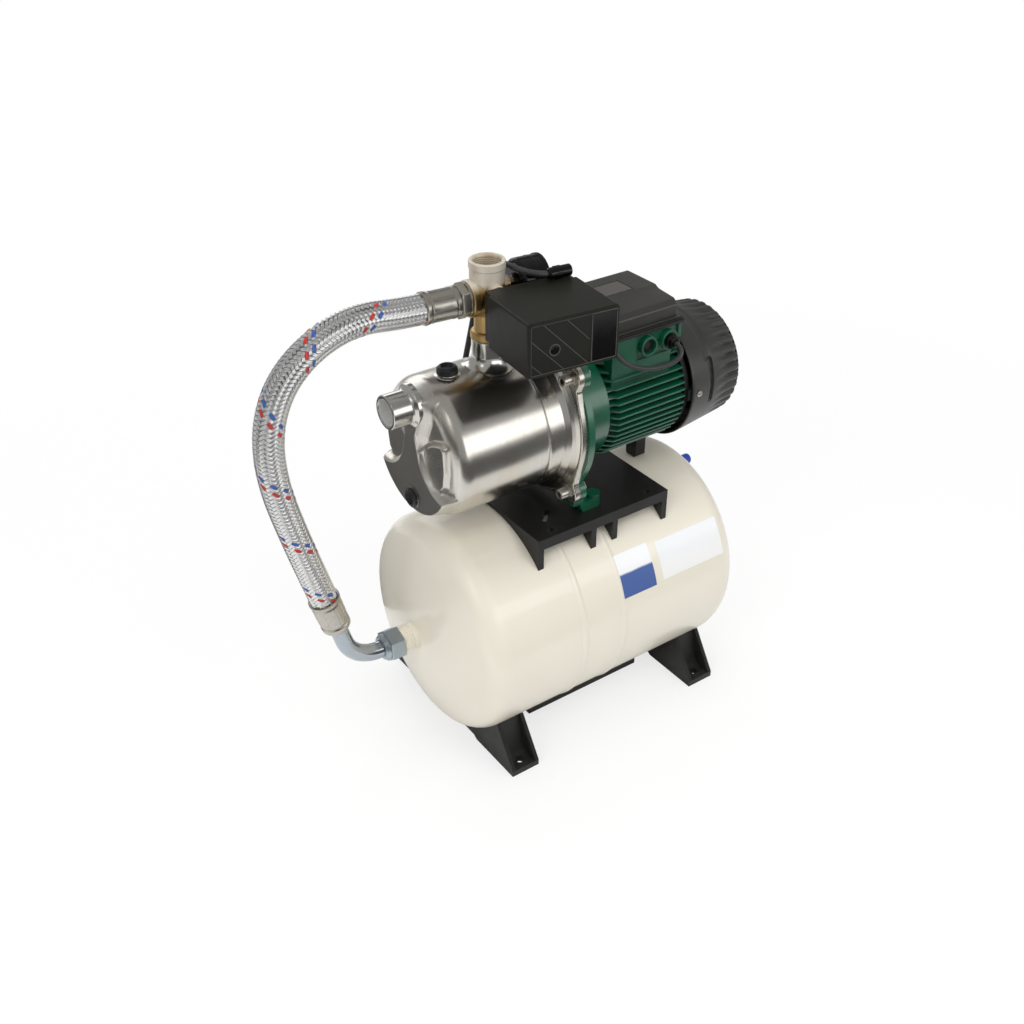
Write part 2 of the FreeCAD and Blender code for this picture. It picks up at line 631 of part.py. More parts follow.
def seals():
    disc = new_body("seal_disc")
    back = -s.flange_back
    turned(disc, [(back - s.seal_disc, s.seal_radius + 0.3), (back - s.seal_disc, s.seal_disc_radius),
                  (back, s.seal_disc_radius), (back, s.seal_radius + 0.3)])
    place(disc, z=s.pump_axis)
    seat = new_body("seal_seat")
    shaft = s.shaft_radius + s.bore_play
    turned(seat, [(back - s.seal_disc, shaft), (back - s.seal_disc, s.seal_radius), (back, s.seal_radius),
                  (back, shaft)])
    place(seat, z=s.pump_axis)
    head = new_body("seal_head")
    start = -s.impeller_back + 6.3
    end = back - s.seal_disc - 0.05
    turned(head, [(start, shaft), (start, s.seal_radius - 3), (end - 5, s.seal_radius - 3),
                  (end - 5, s.seal_radius - 1), (end, s.seal_radius - 1), (end, shaft)])
    place(head, z=s.pump_axis)
    ring = new_body("casing_o_ring")
    groove = s.seal_disc_radius - 5
    turned(ring, [(back - s.seal_disc - 2.3, groove), (back - s.seal_disc - 2.3, groove + 2),
                  (back - s.seal_disc - 0.3, groove + 2), (back - s.seal_disc - 0.3, groove)])
    place(ring, z=s.pump_axis)


# motor


def motor_bracket():
    body = new_body("motor_bracket")
    face = -s.flange_back
    inner = s.lantern_radius - 12
    seat, hub = s.bearing_radius, s.bearing_radius + 5.5
    web = s.front_bearing - 5
    hole = s.seal_radius - 2
    turned(body, [(face, hole), (face, s.bracket_disc), (face + s.bracket_plate, s.bracket_disc),
                  (face + s.bracket_plate, s.lantern_radius), (s.frame_front, s.lantern_radius),
                  (s.frame_front, inner), (web + 9, inner), (web + 9, hub),
                  (s.front_bearing + s.bearing_width, hub), (s.front_bearing + s.bearing_width, seat),
                  (s.front_bearing, seat), (s.front_bearing, s.shaft_radius + 2),
                  (web, s.shaft_radius + 2), (web, inner), (face + 6, inner), (face + 6, hole)])
    spot = s.bolt_circle * math.cos(math.radians(45))
    ears = [(sy * spot, sz * spot) for sy in (-1, 1) for sz in (-1, 1)]
    for y, z in ears:
        slab(body, "X", face, face + s.bracket_plate, circles=[(y, z, s.ear_radius)])
    low = s.saddle_top - s.pump_axis
    half, arch = s.pump_foot_half, s.pump_foot_half - s.bracket_leg
    shoe, bend, plate_back = s.shoe_height, s.shoe_bend, face + s.bracket_plate
    leg = [(-half, low + shoe), (-half, low + shoe + 6), (-half + 6, low + 42), (half - 6, low + 42),
           (half, low + shoe + 6), (half, low + shoe), (arch, low + shoe), (arch - 14, low + 26),
           (-arch + 14, low + 26), (-arch, low + shoe)]
    slab(body, "X", face, face + s.bracket_plate, [leg])
    for side in (-1, 1):
        near, far = side * arch, side * half
        ordered = (near, far) if side > 0 else (far, near)
        boot = [(face, low + shoe + bend), (face, low + bend), (plate_back, low + shoe + 2),
                (-s.shoe_front, low), (s.foot_reach - 10, low), (s.foot_reach - 10, low + shoe),
                (plate_back + bend, low + shoe, bend, ARC), (plate_back, low + shoe + bend)]
        slab(body, "Y", ordered[0], ordered[1], [boot])
        slab(body, "Z", low, low + shoe + s.shoe_rise,
             circles=[(s.foot_reach - 10, side * (half - 9), s.shoe_boss)])
    slab(body, "X", face - 2, face + s.bracket_plate + 2,
         circles=[(y, z, s.bolt_hole) for y, z in ears], cutting=True)
    slab(body, "Z", low - 2, low + shoe,
         circles=[(s.foot_reach - 10, side * (half - 9), s.saddle_hole) for side in (-1, 1)], cutting=True)
    return place(body, z=s.pump_axis)


def casing_bolts():
    spot = s.bolt_circle * math.cos(math.radians(45))
    bolts = []
    for i, (sy, sz) in enumerate(((-1, -1), (-1, 1), (1, -1), (1, 1))):
        y, z = sy * spot, s.pump_axis + sz * spot
        grip = s.flange_front - s.flange_back + s.bracket_plate
        head = cylinder(f"bolt_{i}_head", 6.6, 13, -s.flange_front - 13, y, z, "X")
        shank = cylinder(f"bolt_{i}_shank", s.bolt_hole - 0.3, grip + 8, -s.flange_front, y, z, "X")
        nut = doc.addObject("Part::Prism", f"bolt_{i}_nut")
        nut.Polygon = 6
        nut.Placement = Placement(Vector(), Rotation(Vector(0, 1, 0), 90))
        bind(nut, Circumradius=7.5, Height=6.5)
        place(nut, -s.flange_front + grip, y, z)
        solid = fused(f"bolt_{i}_body", [head, shank, nut])
        socket = cylinder(f"bolt_{i}_socket", 3.4, 6, -s.flange_front - 14, y, z, "X")
        bolts.append(cut(f"bolt_{i}", solid, socket))
    return group("casing_bolts", bolts)


def motor_frame():
    front, rear, axis = s.frame_front, s.frame_rear, s.pump_axis
    length = rear - front
    taper = s.fin_taper
    envelope = doc.addObject("Part::Cone", "fin_taper_cone")
    envelope.Placement = Placement(Vector(), Rotation(Vector(0, 1, 0), 90))
    bind(envelope, Radius1=s.frame_core + 2, Radius2=s.fin_radius, Height=taper)
    place(envelope, front, 0, axis)
    drum = cylinder("fin_drum", s.fin_radius, length - taper, front + taper, 0, axis, "X")
    hull = fused("fin_hull", [envelope, drum])
    reach = int((s.fin_radius.value - 2) // s.fin_pitch.value)
    plates = []
    for k in range(-reach, reach + 1):
        middle = axis + k * s.fin_pitch
        plates.append(box(f"fin_{k + reach}", (front, -s.fin_radius - 2, middle - s.fin_thickness / 2),
                          (rear, s.fin_radius + 2, middle + s.fin_thickness / 2)))
    keel = box("frame_keel", (front, -s.keel_half, axis - s.fin_radius - 2),
               (rear, s.keel_half, axis - s.frame_core + 4))
    fins = common("fins", [fused("fin_stack", plates + [keel]), hull])
    core = cylinder("frame_core_drum", s.frame_core, length, front, 0, axis, "X")
    base = box("box_base", (s.box_front, -s.box_half, axis + 30), (s.frame_rear, s.box_half, s.box_base_top))
    bosses = [cylinder("gland_boss_ring", s.gland_boss, 4, s.gland_x, -s.box_half - 4, s.gland_height, "Y"),
              cylinder("blank_boss_ring", s.gland_boss, 4, s.blank_x, -s.box_half - 4, s.gland_height, "Y")]
    solid = fused("frame_solid", [fins, core, base] + bosses)
    bore = cylinder("frame_bore_drum", s.frame_bore, length + 20, front - 10, 0, axis, "X")
    under = box("base_under", (s.box_front - 2, -s.box_half + s.box_wall, axis + 20),
                (s.frame_rear + 2, s.box_half - s.box_wall, axis + 52))
    clear = cut("base_under_ring", under, cylinder("base_under_drum", s.frame_core, length + 20,
                                                   front - 10, 0, axis, "X"))
    tray = box("base_tray", (s.box_front + s.box_wall, -s.box_half + s.box_wall, s.box_floor),
               (s.frame_rear - s.box_wall, s.box_half - s.box_wall, s.box_base_top + 2))
    entry = cylinder("gland_entry", s.gland_radius - 3, 30, s.gland_x, -s.box_half - 6, s.gland_height, "Y")
    blank = cylinder("blank_recess", s.gland_boss - 3, 5, s.blank_x, -s.box_half - 6, s.gland_height, "Y")
    frame = cut("motor_frame", solid, fused("frame_voids", [bore, clear, tray, entry, blank]))
    return keep(frame, "motor_frame")


def ring(label, low, high, inner, outer):
    body = new_body(label)
    turned(body, [(low, inner), (low, outer), (high, outer), (high, inner)])
    return place(body, z=s.pump_axis)


def motor_inside():
    ring("stator_core", s.stack_front, s.stack_rear, s.rotor_radius + s.air_gap, s.frame_bore - 0.1)
    coils = []
    for name, low, high in (("front", s.frame_front + 4, s.stack_front - 0.3),
                            ("rear", s.stack_rear + 0.3, s.frame_rear - 4)):
        hoop = cylinder(f"winding_{name}_hoop", s.frame_bore - 3, high - low, low, 0, s.pump_axis, "X")
        hole = cylinder(f"winding_{name}_hole", s.rotor_radius + 3, high - low + 4, low - 2, 0, s.pump_axis, "X")
        coils.append(cut(f"winding_{name}", hoop, hole))
    group("stator_windings", coils)
    ring("rotor_core", s.stack_front - 1, s.stack_rear + 1, s.shaft_radius + 2 + s.bore_play, s.rotor_radius)
    shaft = new_body("motor_shaft")
    nose, seat, thick = s.shaft_nose, s.shaft_radius, s.shaft_radius + 2
    step = -s.impeller_back + 6.3
    turned(shaft, [(-s.impeller_back - 22, 0), (-s.impeller_back - 22, nose), (step, nose), (step, seat),
                   (s.front_bearing + s.bearing_width + 3, seat), (s.front_bearing + s.bearing_width + 3, thick),
                   (s.rear_bearing - 3, thick), (s.rear_bearing - 3, seat),
                   (s.rear_bearing + s.bearing_width + 2, seat), (s.rear_bearing + s.bearing_width + 2, nose),
                   (s.fan_front + s.fan_width + 4, nose), (s.fan_front + s.fan_width + 4, 0)])
    place(shaft, z=s.pump_axis)
    races = []
    for name, low in (("front", s.front_bearing), ("rear", s.rear_bearing)):
        outer = cylinder(f"bearing_{name}_outer", s.bearing_radius - 0.05, s.bearing_width, low, 0, s.pump_axis, "X")
        inner = cylinder(f"bearing_{name}_bore", s.shaft_radius + s.bore_play, s.bearing_width + 4, low - 2, 0,
                         s.pump_axis, "X")
        races.append(cut(f"bearing_{name}", outer, inner))
    group("shaft_bearings", races)


def cover_radius(x):
    # outer radius of the tapering fan cover
    span = s.cover_rear - s.cover_round - s.cover_lip
    fall = (s.cover_front_radius - s.cover_rear_radius - 0.6) / span
    return s.cover_front_radius - (x - s.cover_lip) * fall


def end_shield():
    body = new_body("end_shield")
    start, seat = s.frame_rear, s.rear_bearing
    hub = s.bearing_radius + 5
    turned(body, [(start, s.frame_core - 8), (start, s.fin_radius - 2), (start + s.shield_thickness, s.fin_radius - 2),
                  (start + s.shield_thickness + 3, s.fin_radius - 10), (start + s.shield_thickness + 4, hub),
                  (seat + s.bearing_width, hub), (seat + s.bearing_width, s.bearing_radius),
                  (seat, s.bearing_radius), (seat, s.shaft_radius + 2), (seat - 1, s.shaft_radius + 2.4),
                  (seat - 1, hub + 4), (start + 3, hub + 8), (start + 3, s.frame_core - 8)])
    reach, root_radius = cover_radius(s.cover_lip + 14) - s.cover_wall - s.seat_gap, s.fan_radius + 3
    for outline in (rectangle(-7, root_radius, 7, reach), rectangle(-7, -reach, 7, -root_radius),
                    rectangle(root_radius, -7, reach, 7), rectangle(-reach, -7, -root_radius, 7)):
        slab(body, "X", start + 2, s.cover_lip + 14, [outline])
    return place(body, z=s.pump_axis)


def fan_cover():
    body = new_body("fan_cover")
    lip, rear, wall, bend = s.cover_lip, s.cover_rear, s.cover_wall, s.cover_round
    big, small = s.cover_front_radius, s.cover_rear_radius
    turned(body, [(lip, big - wall), (lip, big), (rear - bend, small + 0.6, bend, ARC), (rear, small - bend),
                  (rear, 0), (rear - wall, 0), (rear - wall, small - bend, bend - wall, -ARC),
                  (rear - bend, small + 0.6 - wall)])
    slot = [(s.grille_inner, -s.grille_slot / 2), (s.grille_outer, -s.grille_slot / 2),
            (s.grille_outer, s.grille_slot / 2), (s.grille_inner, s.grille_slot / 2)]
    first = slab(body, "X", rear - wall - 2, rear + 2, [slot], cutting=True)
    doc.recompute()
    pattern = body.newObject("PartDesign::PolarPattern", "fan_cover_slots")
    pattern.Originals = [first]
    pattern.Axis = (first.Profile[0], ["N_Axis"])
    pattern.Angle = 360
    pattern.Occurrences = int(s.grille_slots.value)
    body.Tip = pattern
    screw_x = s.cover_lip + 11
    for axis, circles in (("Z", [(screw_x, 0, 2.4)]), ("Y", [(screw_x, 0, 2.4)])):
        slab(body, axis, -big - 4, big + 4, circles=circles, cutting=True)
    return place(body, z=s.pump_axis)


def fan_cover_screws():
    screws = []
    reach = cover_radius(s.cover_lip + 14) - s.cover_wall
    x = s.cover_lip + 11
    for i, (axis, sign) in enumerate((("Z", 1), ("Z", -1), ("Y", 1), ("Y", -1))):
        low, head_low = reach, cover_radius(x) + s.seat_gap
        height = head_low - low + 0.5
        parts = []
        for name, radius, start, length in (("shank", 2.2, low, height), ("head", 3.8, head_low, size(2))):
            start = start if sign > 0 else -start - length
            spot = (x, 0, s.pump_axis + start) if axis == "Z" else (x, start, s.pump_axis)
            parts.append(cylinder(f"cover_screw_{i}_{name}", radius, length, *spot, axis))
        screws.append(fused(f"cover_screw_{i}", parts))
    return group("fan_cover_screws", screws)


def cooling_fan():
    body = new_body("cooling_fan")
    low, high = s.fan_front, s.fan_front + s.fan_width
    bore = s.shaft_nose + s.bore_play
    turned(body, [(low, bore), (low, s.fan_radius - 6), (low + 3, s.fan_radius - 6), (low + 3, 14), (high, 12),
                  (high, bore)])
    count = int(s.fan_blades.value)
    for k in range(count):
        angle = math.radians(360 * k / count)
        along, across = math.cos(angle), math.sin(angle)
        inner, outer = 10, s.fan_radius
        blade = [(inner * along - across, inner * across + along), (outer * along - across, outer * across + along),
                 (outer * along + across, outer * across - along), (inner * along + across, inner * across - along)]
        slab(body, "X", low + 1, high - 2, [blade])
    return place(body, z=s.pump_axis)


def motor_support():
    body = new_body("motor_support")
    top, low = s.pump_axis - s.fin_radius, s.tank_axis + s.tank_radius + s.seat_gap
    half, length = s.support_half, s.support_length
    outline = [(-half + 2, low), (-half, low + 2), (-half, top - 8), (-half - 7, top - 3), (-half - 7, top),
               (half + 7, top), (half + 7, top - 3), (half, top - 8), (half, low + 2), (half - 2, low)]
    slab(body, "X", -length / 2, length / 2, [outline])
    slab(body, "Z", low - 2, low + 18, [rectangle(-length / 2 + 3, -half + 3, length / 2 - 3, half - 3)],
         cutting=True)
    return place(body, x=s.support_x)


# terminal box


def terminal_box():
    front, rear, half = s.box_front + s.lid_inset, s.frame_rear - s.lid_inset, s.box_half - s.lid_inset + 1
    top, low = s.lid_top, s.box_base_top + s.gasket
    seal = new_body("terminal_gasket")
    step = s.gasket_step
    outer = rectangle(s.box_front - step, -s.box_half - step, s.frame_rear + step, s.box_half + step)
    inner = rectangle(s.box_front + 6, -s.box_half + 6, s.frame_rear - 6, s.box_half - 6)
    slab(seal, "Z", s.box_base_top, low, [outer])
    slab(seal, "Z", s.box_base_top - 2, low + 2, [inner], cutting=True)
    lid = new_body("terminal_box_cover")
    shape = [(-half, low), (-half, top - 12), (-half + 2, top - 7), (-half + 10, top - 3.5), (-18, top - 2.5),
             (-13, top), (36, top), (half - 10, top - 6), (half, top - 14), (half, low)]
    slab(lid, "X", front, rear, [shape])
    slab(lid, "Z", top - 1, top + 2, [rectangle(front + 15, -12, s.frame_rear - 36, 19)], cutting=True)
    wall = s.lid_wall
    hollow = [(-half + wall, low - 2), (-half + wall, top - 14), (-half + 6, top - 9.5), (-18, top - 6),
              (-13, top - wall - 1), (36, top - wall - 1), (half - 12, top - 10),
              (half - wall, top - 16), (half - wall, low - 2)]
    slab(lid, "X", front + wall, rear - wall, [hollow], cutting=True)
    board = new_body("terminal_board")
    slab(board, "Z", s.box_floor, s.box_floor + 6, [rectangle(46, -46, 100, -20)])
    for k in range(3):
        slab(board, "Z", s.box_floor + 5, s.box_floor + 16, circles=[(56 + 17 * k, -33, 3)])
    can = new_body("run_capacitor")
    middle = s.box_floor + 17.3
    turned(can, [(42, 0), (42, 15), (43.5, 17), (102, 17), (103.5, 15), (103.5, 0)])
    place(can, 0, 16, middle)
    gland = new_body("motor_cable_gland")
    face, radius = s.box_half + 4, s.gland_radius
    turned(gland, [(s.small_lead_radius + 0.3, face), (radius - 1, face), (radius, face + 1), (radius, face + 5),
                   (radius - 3, face + s.gland_length), (s.small_lead_radius + 0.3, face + s.gland_length)], "V_Axis")
    place(gland, s.gland_x, 0, s.gland_height, 90, Vector(1, 0, 0))


# five-way fitting, gauge and pressure switch, in a frame turned about the fitting


def at_tee(body, z=0):
    return place(body, s.tee_x, 0, z, s.tee_turn)


def five_way_fitting():
    body = new_body("five_way_fitting")
    thread = s.neck_radius - 1.6 - s.thread_play
    low, neck, top = s.neck_top - 16, s.neck_top, s.tee_top
    rim, tube, middle = s.tee_rim, s.tee_tube, s.tee_body
    turned(body, [(s.tee_bore, low), (thread, low), (thread, neck), (s.tee_collar - 1, neck),
                  (s.tee_collar, neck + 1.5), (s.tee_collar, neck + 7), (s.tee_collar - 1.5, neck + 9),
                  (tube, neck + 10), (tube, s.tee_port - 20), (middle, s.tee_port - 13),
                  (middle, top - 30), (rim - 1, top - 25), (rim - 1, top - 8), (rim, top - 7), (rim, top - 0.8),
                  (rim - 0.8, top), (s.port_bore + 1, top), (s.port_bore, top - 1.5), (s.port_bore, top - 20),
                  (s.tee_bore, top - 23)], "V_Axis")
    side = s.tee_side
    slab(body, "X", -side, -2, circles=[(0, s.tee_port, rim - 0.3)])
    slab(body, "X", 2, side - 1, circles=[(0, s.tee_small_port, s.small_boss)])
    slab(body, "Y", -side, -2, circles=[(0, s.tee_small_port, s.small_boss)])
    slab(body, "X", -side - 2, -side + 14, circles=[(0, s.tee_port, s.port_bore)], cutting=True)
    slab(body, "X", -side + 12, 0, circles=[(0, s.tee_port, s.tee_bore)], cutting=True)
    slab(body, "X", 4, side + 2, circles=[(0, s.tee_small_port, s.small_bore)], cutting=True)
    slab(body, "Y", -side - 2, -4, circles=[(0, s.tee_small_port, s.small_bore)], cutting=True)
    slab(body, "Z", low - 2, top - 22, circles=[(0, 0, s.tee_bore)], cutting=True)
    return at_tee(body)


def gauge():
    start, length, radius, wall = s.gauge_start, s.gauge_length, s.gauge_radius, s.gauge_wall
    end = start + length
    case = new_body("gauge_case")
    turned(case, [(start, 0), (start, radius - 3), (start + 3, radius - 0.8), (end - 4, radius - 0.8),
                  (end - 4, radius), (end, radius), (end, radius - wall), (start + 6, radius - wall - 0.8),
                  (start + 6, 0)])
    slab(case, "X", start - 3, start + 1, circles=[(0, 0, 10)])
    at_tee(case, s.tee_small_port)
    stem = new_body("gauge_stem")
    seat = s.small_bore - s.thread_play
    slab(stem, "X", s.tee_side - 1, start - 3, [hexagon(14)])
    slab(stem, "X", s.tee_side - 11, s.tee_side, circles=[(0, 0, seat)])
    at_tee(stem, s.tee_small_port)
    dial = new_body("gauge_dial")
    face = end - 9
    turned(dial, [(start + 6, 2), (start + 6, 6), (face - 1, 6), (face - 1, radius - wall - 1.4),
                  (face, radius - wall - 1.4), (face, 2)])
    at_tee(dial, s.tee_small_port)
    pointer = new_body("gauge_pointer")
    needle = [(-1.6, -7), (1.6, -7), (1.2, 0), (0.3, 19), (-0.3, 19), (-1.2, 0)]
    slab(pointer, "X", face + 0.8, face + 1.6, [needle])
    slab(pointer, "X", face - 4, face + 2.4, circles=[(0, 0, 1.95)])
    at_tee(pointer, s.tee_small_port)
    lens = new_body("gauge_lens")
    turned(lens, [(end - 3, 0), (end - 3, radius - wall - 0.2), (end - 1, radius - wall - 0.2), (end - 1, 0)])
    at_tee(lens, s.tee_small_port)


def pressure_switch():
    left, right = s.switch_left, s.switch_left + s.switch_width
    low, high = s.switch_bottom, s.switch_bottom + s.switch_height
    back, front = s.switch_back, s.switch_back + s.switch_depth
    inset, wall = 3, s.switch_wall
    pivot_z = low + 12
    base = new_body("switch_base")
    plate = rectangle(left + inset + wall, low + inset + wall, right - inset - wall, high - inset - wall)
    slab(base, "Y", -back - 5, -back, [plate])
    for lug in (left + 40.6, left + 58.4):
        slab(base, "X", lug, lug + 3, [rectangle(-back - 14, pivot_z - 5, -back - 4, pivot_z + 5)])
    slab(base, "X", left + 40, left + 62, circles=[(-back - 9, pivot_z, 2 + s.bore_play)], cutting=True)
    slab(base, "Y", -back, -back + s.switch_base, [rectangle(left + 4, low + 4, right - 4, high - 1)])
    slab(base, "Y", -back + s.switch_base - 1, -s.tee_side, circles=[(0, s.tee_small_port, s.small_boss - 1)])
    slab(base, "Y", -s.tee_side - 1, -s.tee_side + 10,
         circles=[(0, s.tee_small_port, s.small_bore - s.thread_play)])
    at_tee(base)
    cover = new_body("switch_cover")
    slab(cover, "Y", -front, -back, [rectangle(left, low, right, high)])
    slab(cover, "Y", -front + wall, -back + 2, [rectangle(left + wall, low + wall, right - wall, high - wall)],
         cutting=True)
    slab(cover, "Y", -front - 1, -front + 1.2, [rectangle(right - 30, low + 4, right - 4, high - 4)], cutting=True)
    slab(cover, "Y", -front - 1, -front + 1.2,
         circles=[(left + 32, low + s.switch_height * 0.45, 9)], cutting=True)
    slab(cover, "Y", -front - 1, -front + 6,
         circles=[(left + 32, low + s.switch_height * 0.45, 3.2)], cutting=True)
    at_tee(cover)
    screw = new_body("switch_cover_screw")
    middle = low + s.switch_height * 0.45
    slab(screw, "Y", -front + 1.2 - 2, -front + 1.2, circles=[(left + 32, middle, 5.6)])
    slab(screw, "Y", -front + 1, -back - 5, circles=[(left + 32, middle, 2.8)])
    slab(screw, "Y", -front - 2, -front + 0.4, [rectangle(left + 31.2, middle - 8, left + 32.8, middle + 8)],
         cutting=True)
    at_tee(screw)
    block = new_body("contact_block")
    slab(block, "Y", -back - 24, -back - 5, [rectangle(right - 44, low + 12, right - 14, high - 12)])
    for k in range(3):
        slab(block, "Y", -back - 28, -back - 23, circles=[(right - 38 + 9 * k, low + 20, 2.6)])
    at_tee(block)
    lever = new_body("switch_lever")
    near = back + 7
    outline = [(-near - 4, pivot_z - 4), (-near - 4, pivot_z + 38), (-near - 2, pivot_z + 38),
               (-near, pivot_z + 32), (-near, pivot_z - 4)]
    slab(lever, "X", left + 44, left + 58, [outline])
    slab(lever, "X", left + 41, left + 61, circles=[(-near - 2, pivot_z, 2)])
    at_tee(lever)
    glands = []
    lead, small = s.lead_radius + 0.3, s.small_lead_radius + 0.3
    for name, x, z, run, radius, hole in (("mains", left + 103.5, high + 6, -29, 6.5, lead),
                                          ("motor", right - 4, low + 12, 14, 7, small)):
        start = size(x) if run > 0 else size(x) + run
        outer = cylinder(f"switch_gland_{name}_outer", radius, abs(run), start, -back + s.switch_base / 2, z, "X")
        hole_solid = cylinder(f"switch_gland_{name}_hole", hole, 8, start if run < 0 else start + run - 8,
                              -back + s.switch_base / 2, z, "X")
        glands.append(cut(f"switch_gland_{name}", outer, hole_solid))
    sleeve = doc.addObject("Part::Compound", "switch_glands")
    sleeve.Links = glands
    at_tee(keep(sleeve, "switch_glands"))


# hose, its ends and the leads


def tube(label, route, radius, note):
    # straight runs joined by tangent arcs, swept as one round solid
    spots = [Vector(*p) for p in route]
    edges, cursor, radii, length = [], spots[0], [], 0.0
    for i in range(1, len(spots) - 1):
        before, after = spots[i] - spots[i - 1], spots[i + 1] - spots[i]
        turn = before.getAngle(after)
        bend = 0.45 * min(before.Length, after.Length) / math.tan(turn / 2)
        radii.append(bend)
        reach = bend * math.tan(turn / 2)
        start = spots[i] - before.normalize() * reach
        end = spots[i] + after.normalize() * reach
        inward = (start + end) * 0.5 - spots[i]
        middle = spots[i] + inward.normalize() * (bend / math.cos(turn / 2) - bend)
        edges += [Part.LineSegment(cursor, start).toShape(), Part.Arc(start, middle, end).toShape()]
        cursor = end
    edges.append(Part.LineSegment(cursor, spots[-1]).toShape())
    path = Part.Wire(edges)
    circle = Part.Circle(spots[0], spots[1] - spots[0], radius.value).toShape()
    sweep = path.makePipeShell([Part.Wire(circle)], True, True)
    expected = path.Length * math.pi * radius.value ** 2
    solid = doc.addObject("Part::Feature", label)
    solid.Shape = sweep
    bends = ", ".join(f"{r:.0f}" for r in radii)
    print(f"{label}: {note}, length {path.Length:.0f}, radii {bends}, volume ratio {sweep.Volume / expected:.4f}")
    return keep(solid, label)


HOSE_ROUTE = [(-177.2, 8.15, 567), (-203, 10.87, 567), (-250.3, 9.6, 574.3), (-293.2, 8.4, 565.3),
              (-329.3, 7.2, 543.5), (-353, 6, 513.5), (-366, 4.8, 472.5), (-364.6, 3.4, 418), (-351.2, 1.8, 358),
              (-334.8, 0, 294.64), (-325, 0, 260)]
MAINS_ROUTE = [(-42.9, -40.9, 591.8), (-59, -39.2, 592.1), (-69.5, -31, 594.2), (-73.3, -16, 596),
               (-74.3, 3, 595), (-74.8, 24, 590), (-75, 46, 578), (-76, 66, 556), (-77, 80, 522),
               (-78, 89, 480), (-79, 95, 432), (-78, 101, 382), (-76, 109, 330), (-73, 122, 278),
               (-70, 136, 228), (-67, 147, 188), (-64, 153, 150), (-61, 156, 112), (-57, 160, 72),
               (-50, 166, 42), (-41, 174, 21), (-31, 187, 8.5), (-22, 205, 4.4), (-14.5, 231, 3.7),
               (-8.5, 259.7, 3.6), (11.4, 281.8, 3.6), (40, 285.6, 3.5)]
MOTOR_ROUTE = [(-14.8, -43.85, 537.3), (-3, -45.1, 537.1), (9, -49, 529), (18, -55, 512), (26, -62, 492),
               (38, -68.5, 475), (55, -73, 465), (72, -76.5, 460.5), (88, -80, 460.5), (101, -84, 464),
               (109.5, -86, 471.5), (112, -80, 480.5), (112, -64.5, 480.5)]


def hose_pieces():
    nipple = new_body("hose_tee_nut")
    side = s.tee_side
    slab(nipple, "X", -side - s.nut_length, -side, [hexagon(s.nut_flats)])
    slab(nipple, "X", -side - 1, -side + 12, circles=[(0, 0, s.port_bore - s.thread_play)])
    slab(nipple, "X", -side - s.nut_length - 2, -side + 14, circles=[(0, 0, s.tee_bore)], cutting=True)
    at_tee(nipple, s.tee_port)
    radius = s.ferrule_radius
    low, high = -s.ferrule_end, -side - s.nut_length
    upper = new_body("hose_ferrule_upper")
    turned(upper, [(low, 0), (low, radius + 0.8), (low + 4, radius + 0.4), (low + 7, radius - 1),
                   (high - 7, radius - 1), (high - 4, radius + 0.4), (high, radius - 0.4), (high, 0)])
    at_tee(upper, s.tee_port)
    tube("hose", HOSE_ROUTE, s.hose_radius, "braided hose")
    lower = new_body("hose_ferrule_lower")
    length = 47.2
    turned(lower, [(0, 0), (0, radius + 1), (4, radius + 0.6), (8, radius - 0.8), (length - 8, radius - 1.4),
                   (length - 4, radius), (length, radius - 0.8), (length, 0)])
    place(lower, *HOSE_ROUTE[-1], s.hose_lean, Vector(0, 1, 0))
    elbow = doc.addObject("Part::Feature", "hose_elbow")
    lean, reach = math.radians(s.hose_lean.value), length + 0.05
    down = Vector(math.cos(lean), 0, -math.sin(lean))
    start = Vector(*HOSE_ROUTE[-1]) + down * reach
    corner = start + down * ((start.z - s.tank_axis.value) / math.sin(lean))
    end = Vector(-(s.tank_half_length + s.dome_depth + s.inlet_reach).value - 0.3, 0, s.tank_axis.value)
    into, out = (corner - start), (end - corner)
    turn = into.getAngle(out)
    reach = s.elbow_bend.value * math.tan(turn / 2)
    first = corner - into.normalize() * reach
    last = corner + out.normalize() * reach
    middle = corner + ((first + last) * 0.5 - corner).normalize() * (s.elbow_bend.value / math.cos(turn / 2)
                                                                    - s.elbow_bend.value)
    path = Part.Wire([Part.LineSegment(start, first).toShape(), Part.Arc(first, middle, last).toShape(),
                      Part.LineSegment(last, end).toShape()])
    skin = path.makePipeShell([Part.Wire(Part.Circle(start, into, s.elbow_radius.value).toShape())], True, True)
    core = path.makePipeShell([Part.Wire(Part.Circle(start, into, (s.elbow_radius - s.elbow_wall).value)
                                         .toShape())], True, True)
    collar = Part.makeCylinder(s.inlet_radius.value - 1, 5, end - Vector(5, 0, 0), Vector(1, 0, 0))
    elbow.Shape = skin.fuse(collar).cut(core)
    keep(elbow, "hose_elbow")
    nut = new_body("tank_swivel_nut")
    tip = s.tank_half_length + s.dome_depth + s.inlet_reach
    far, near = -tip - 14, -tip - 14 + s.tank_nut_length
    slab(nut, "X", far, near, [hexagon(s.nut_flats - 1)])
    slab(nut, "X", -tip - 6, near + 2, circles=[(0, 0, s.inlet_radius + s.thread_play)], cutting=True)
    slab(nut, "X", far - 2, -tip, circles=[(0, 0, s.elbow_radius + 0.3)], cutting=True)
    place(nut, z=s.tank_axis)


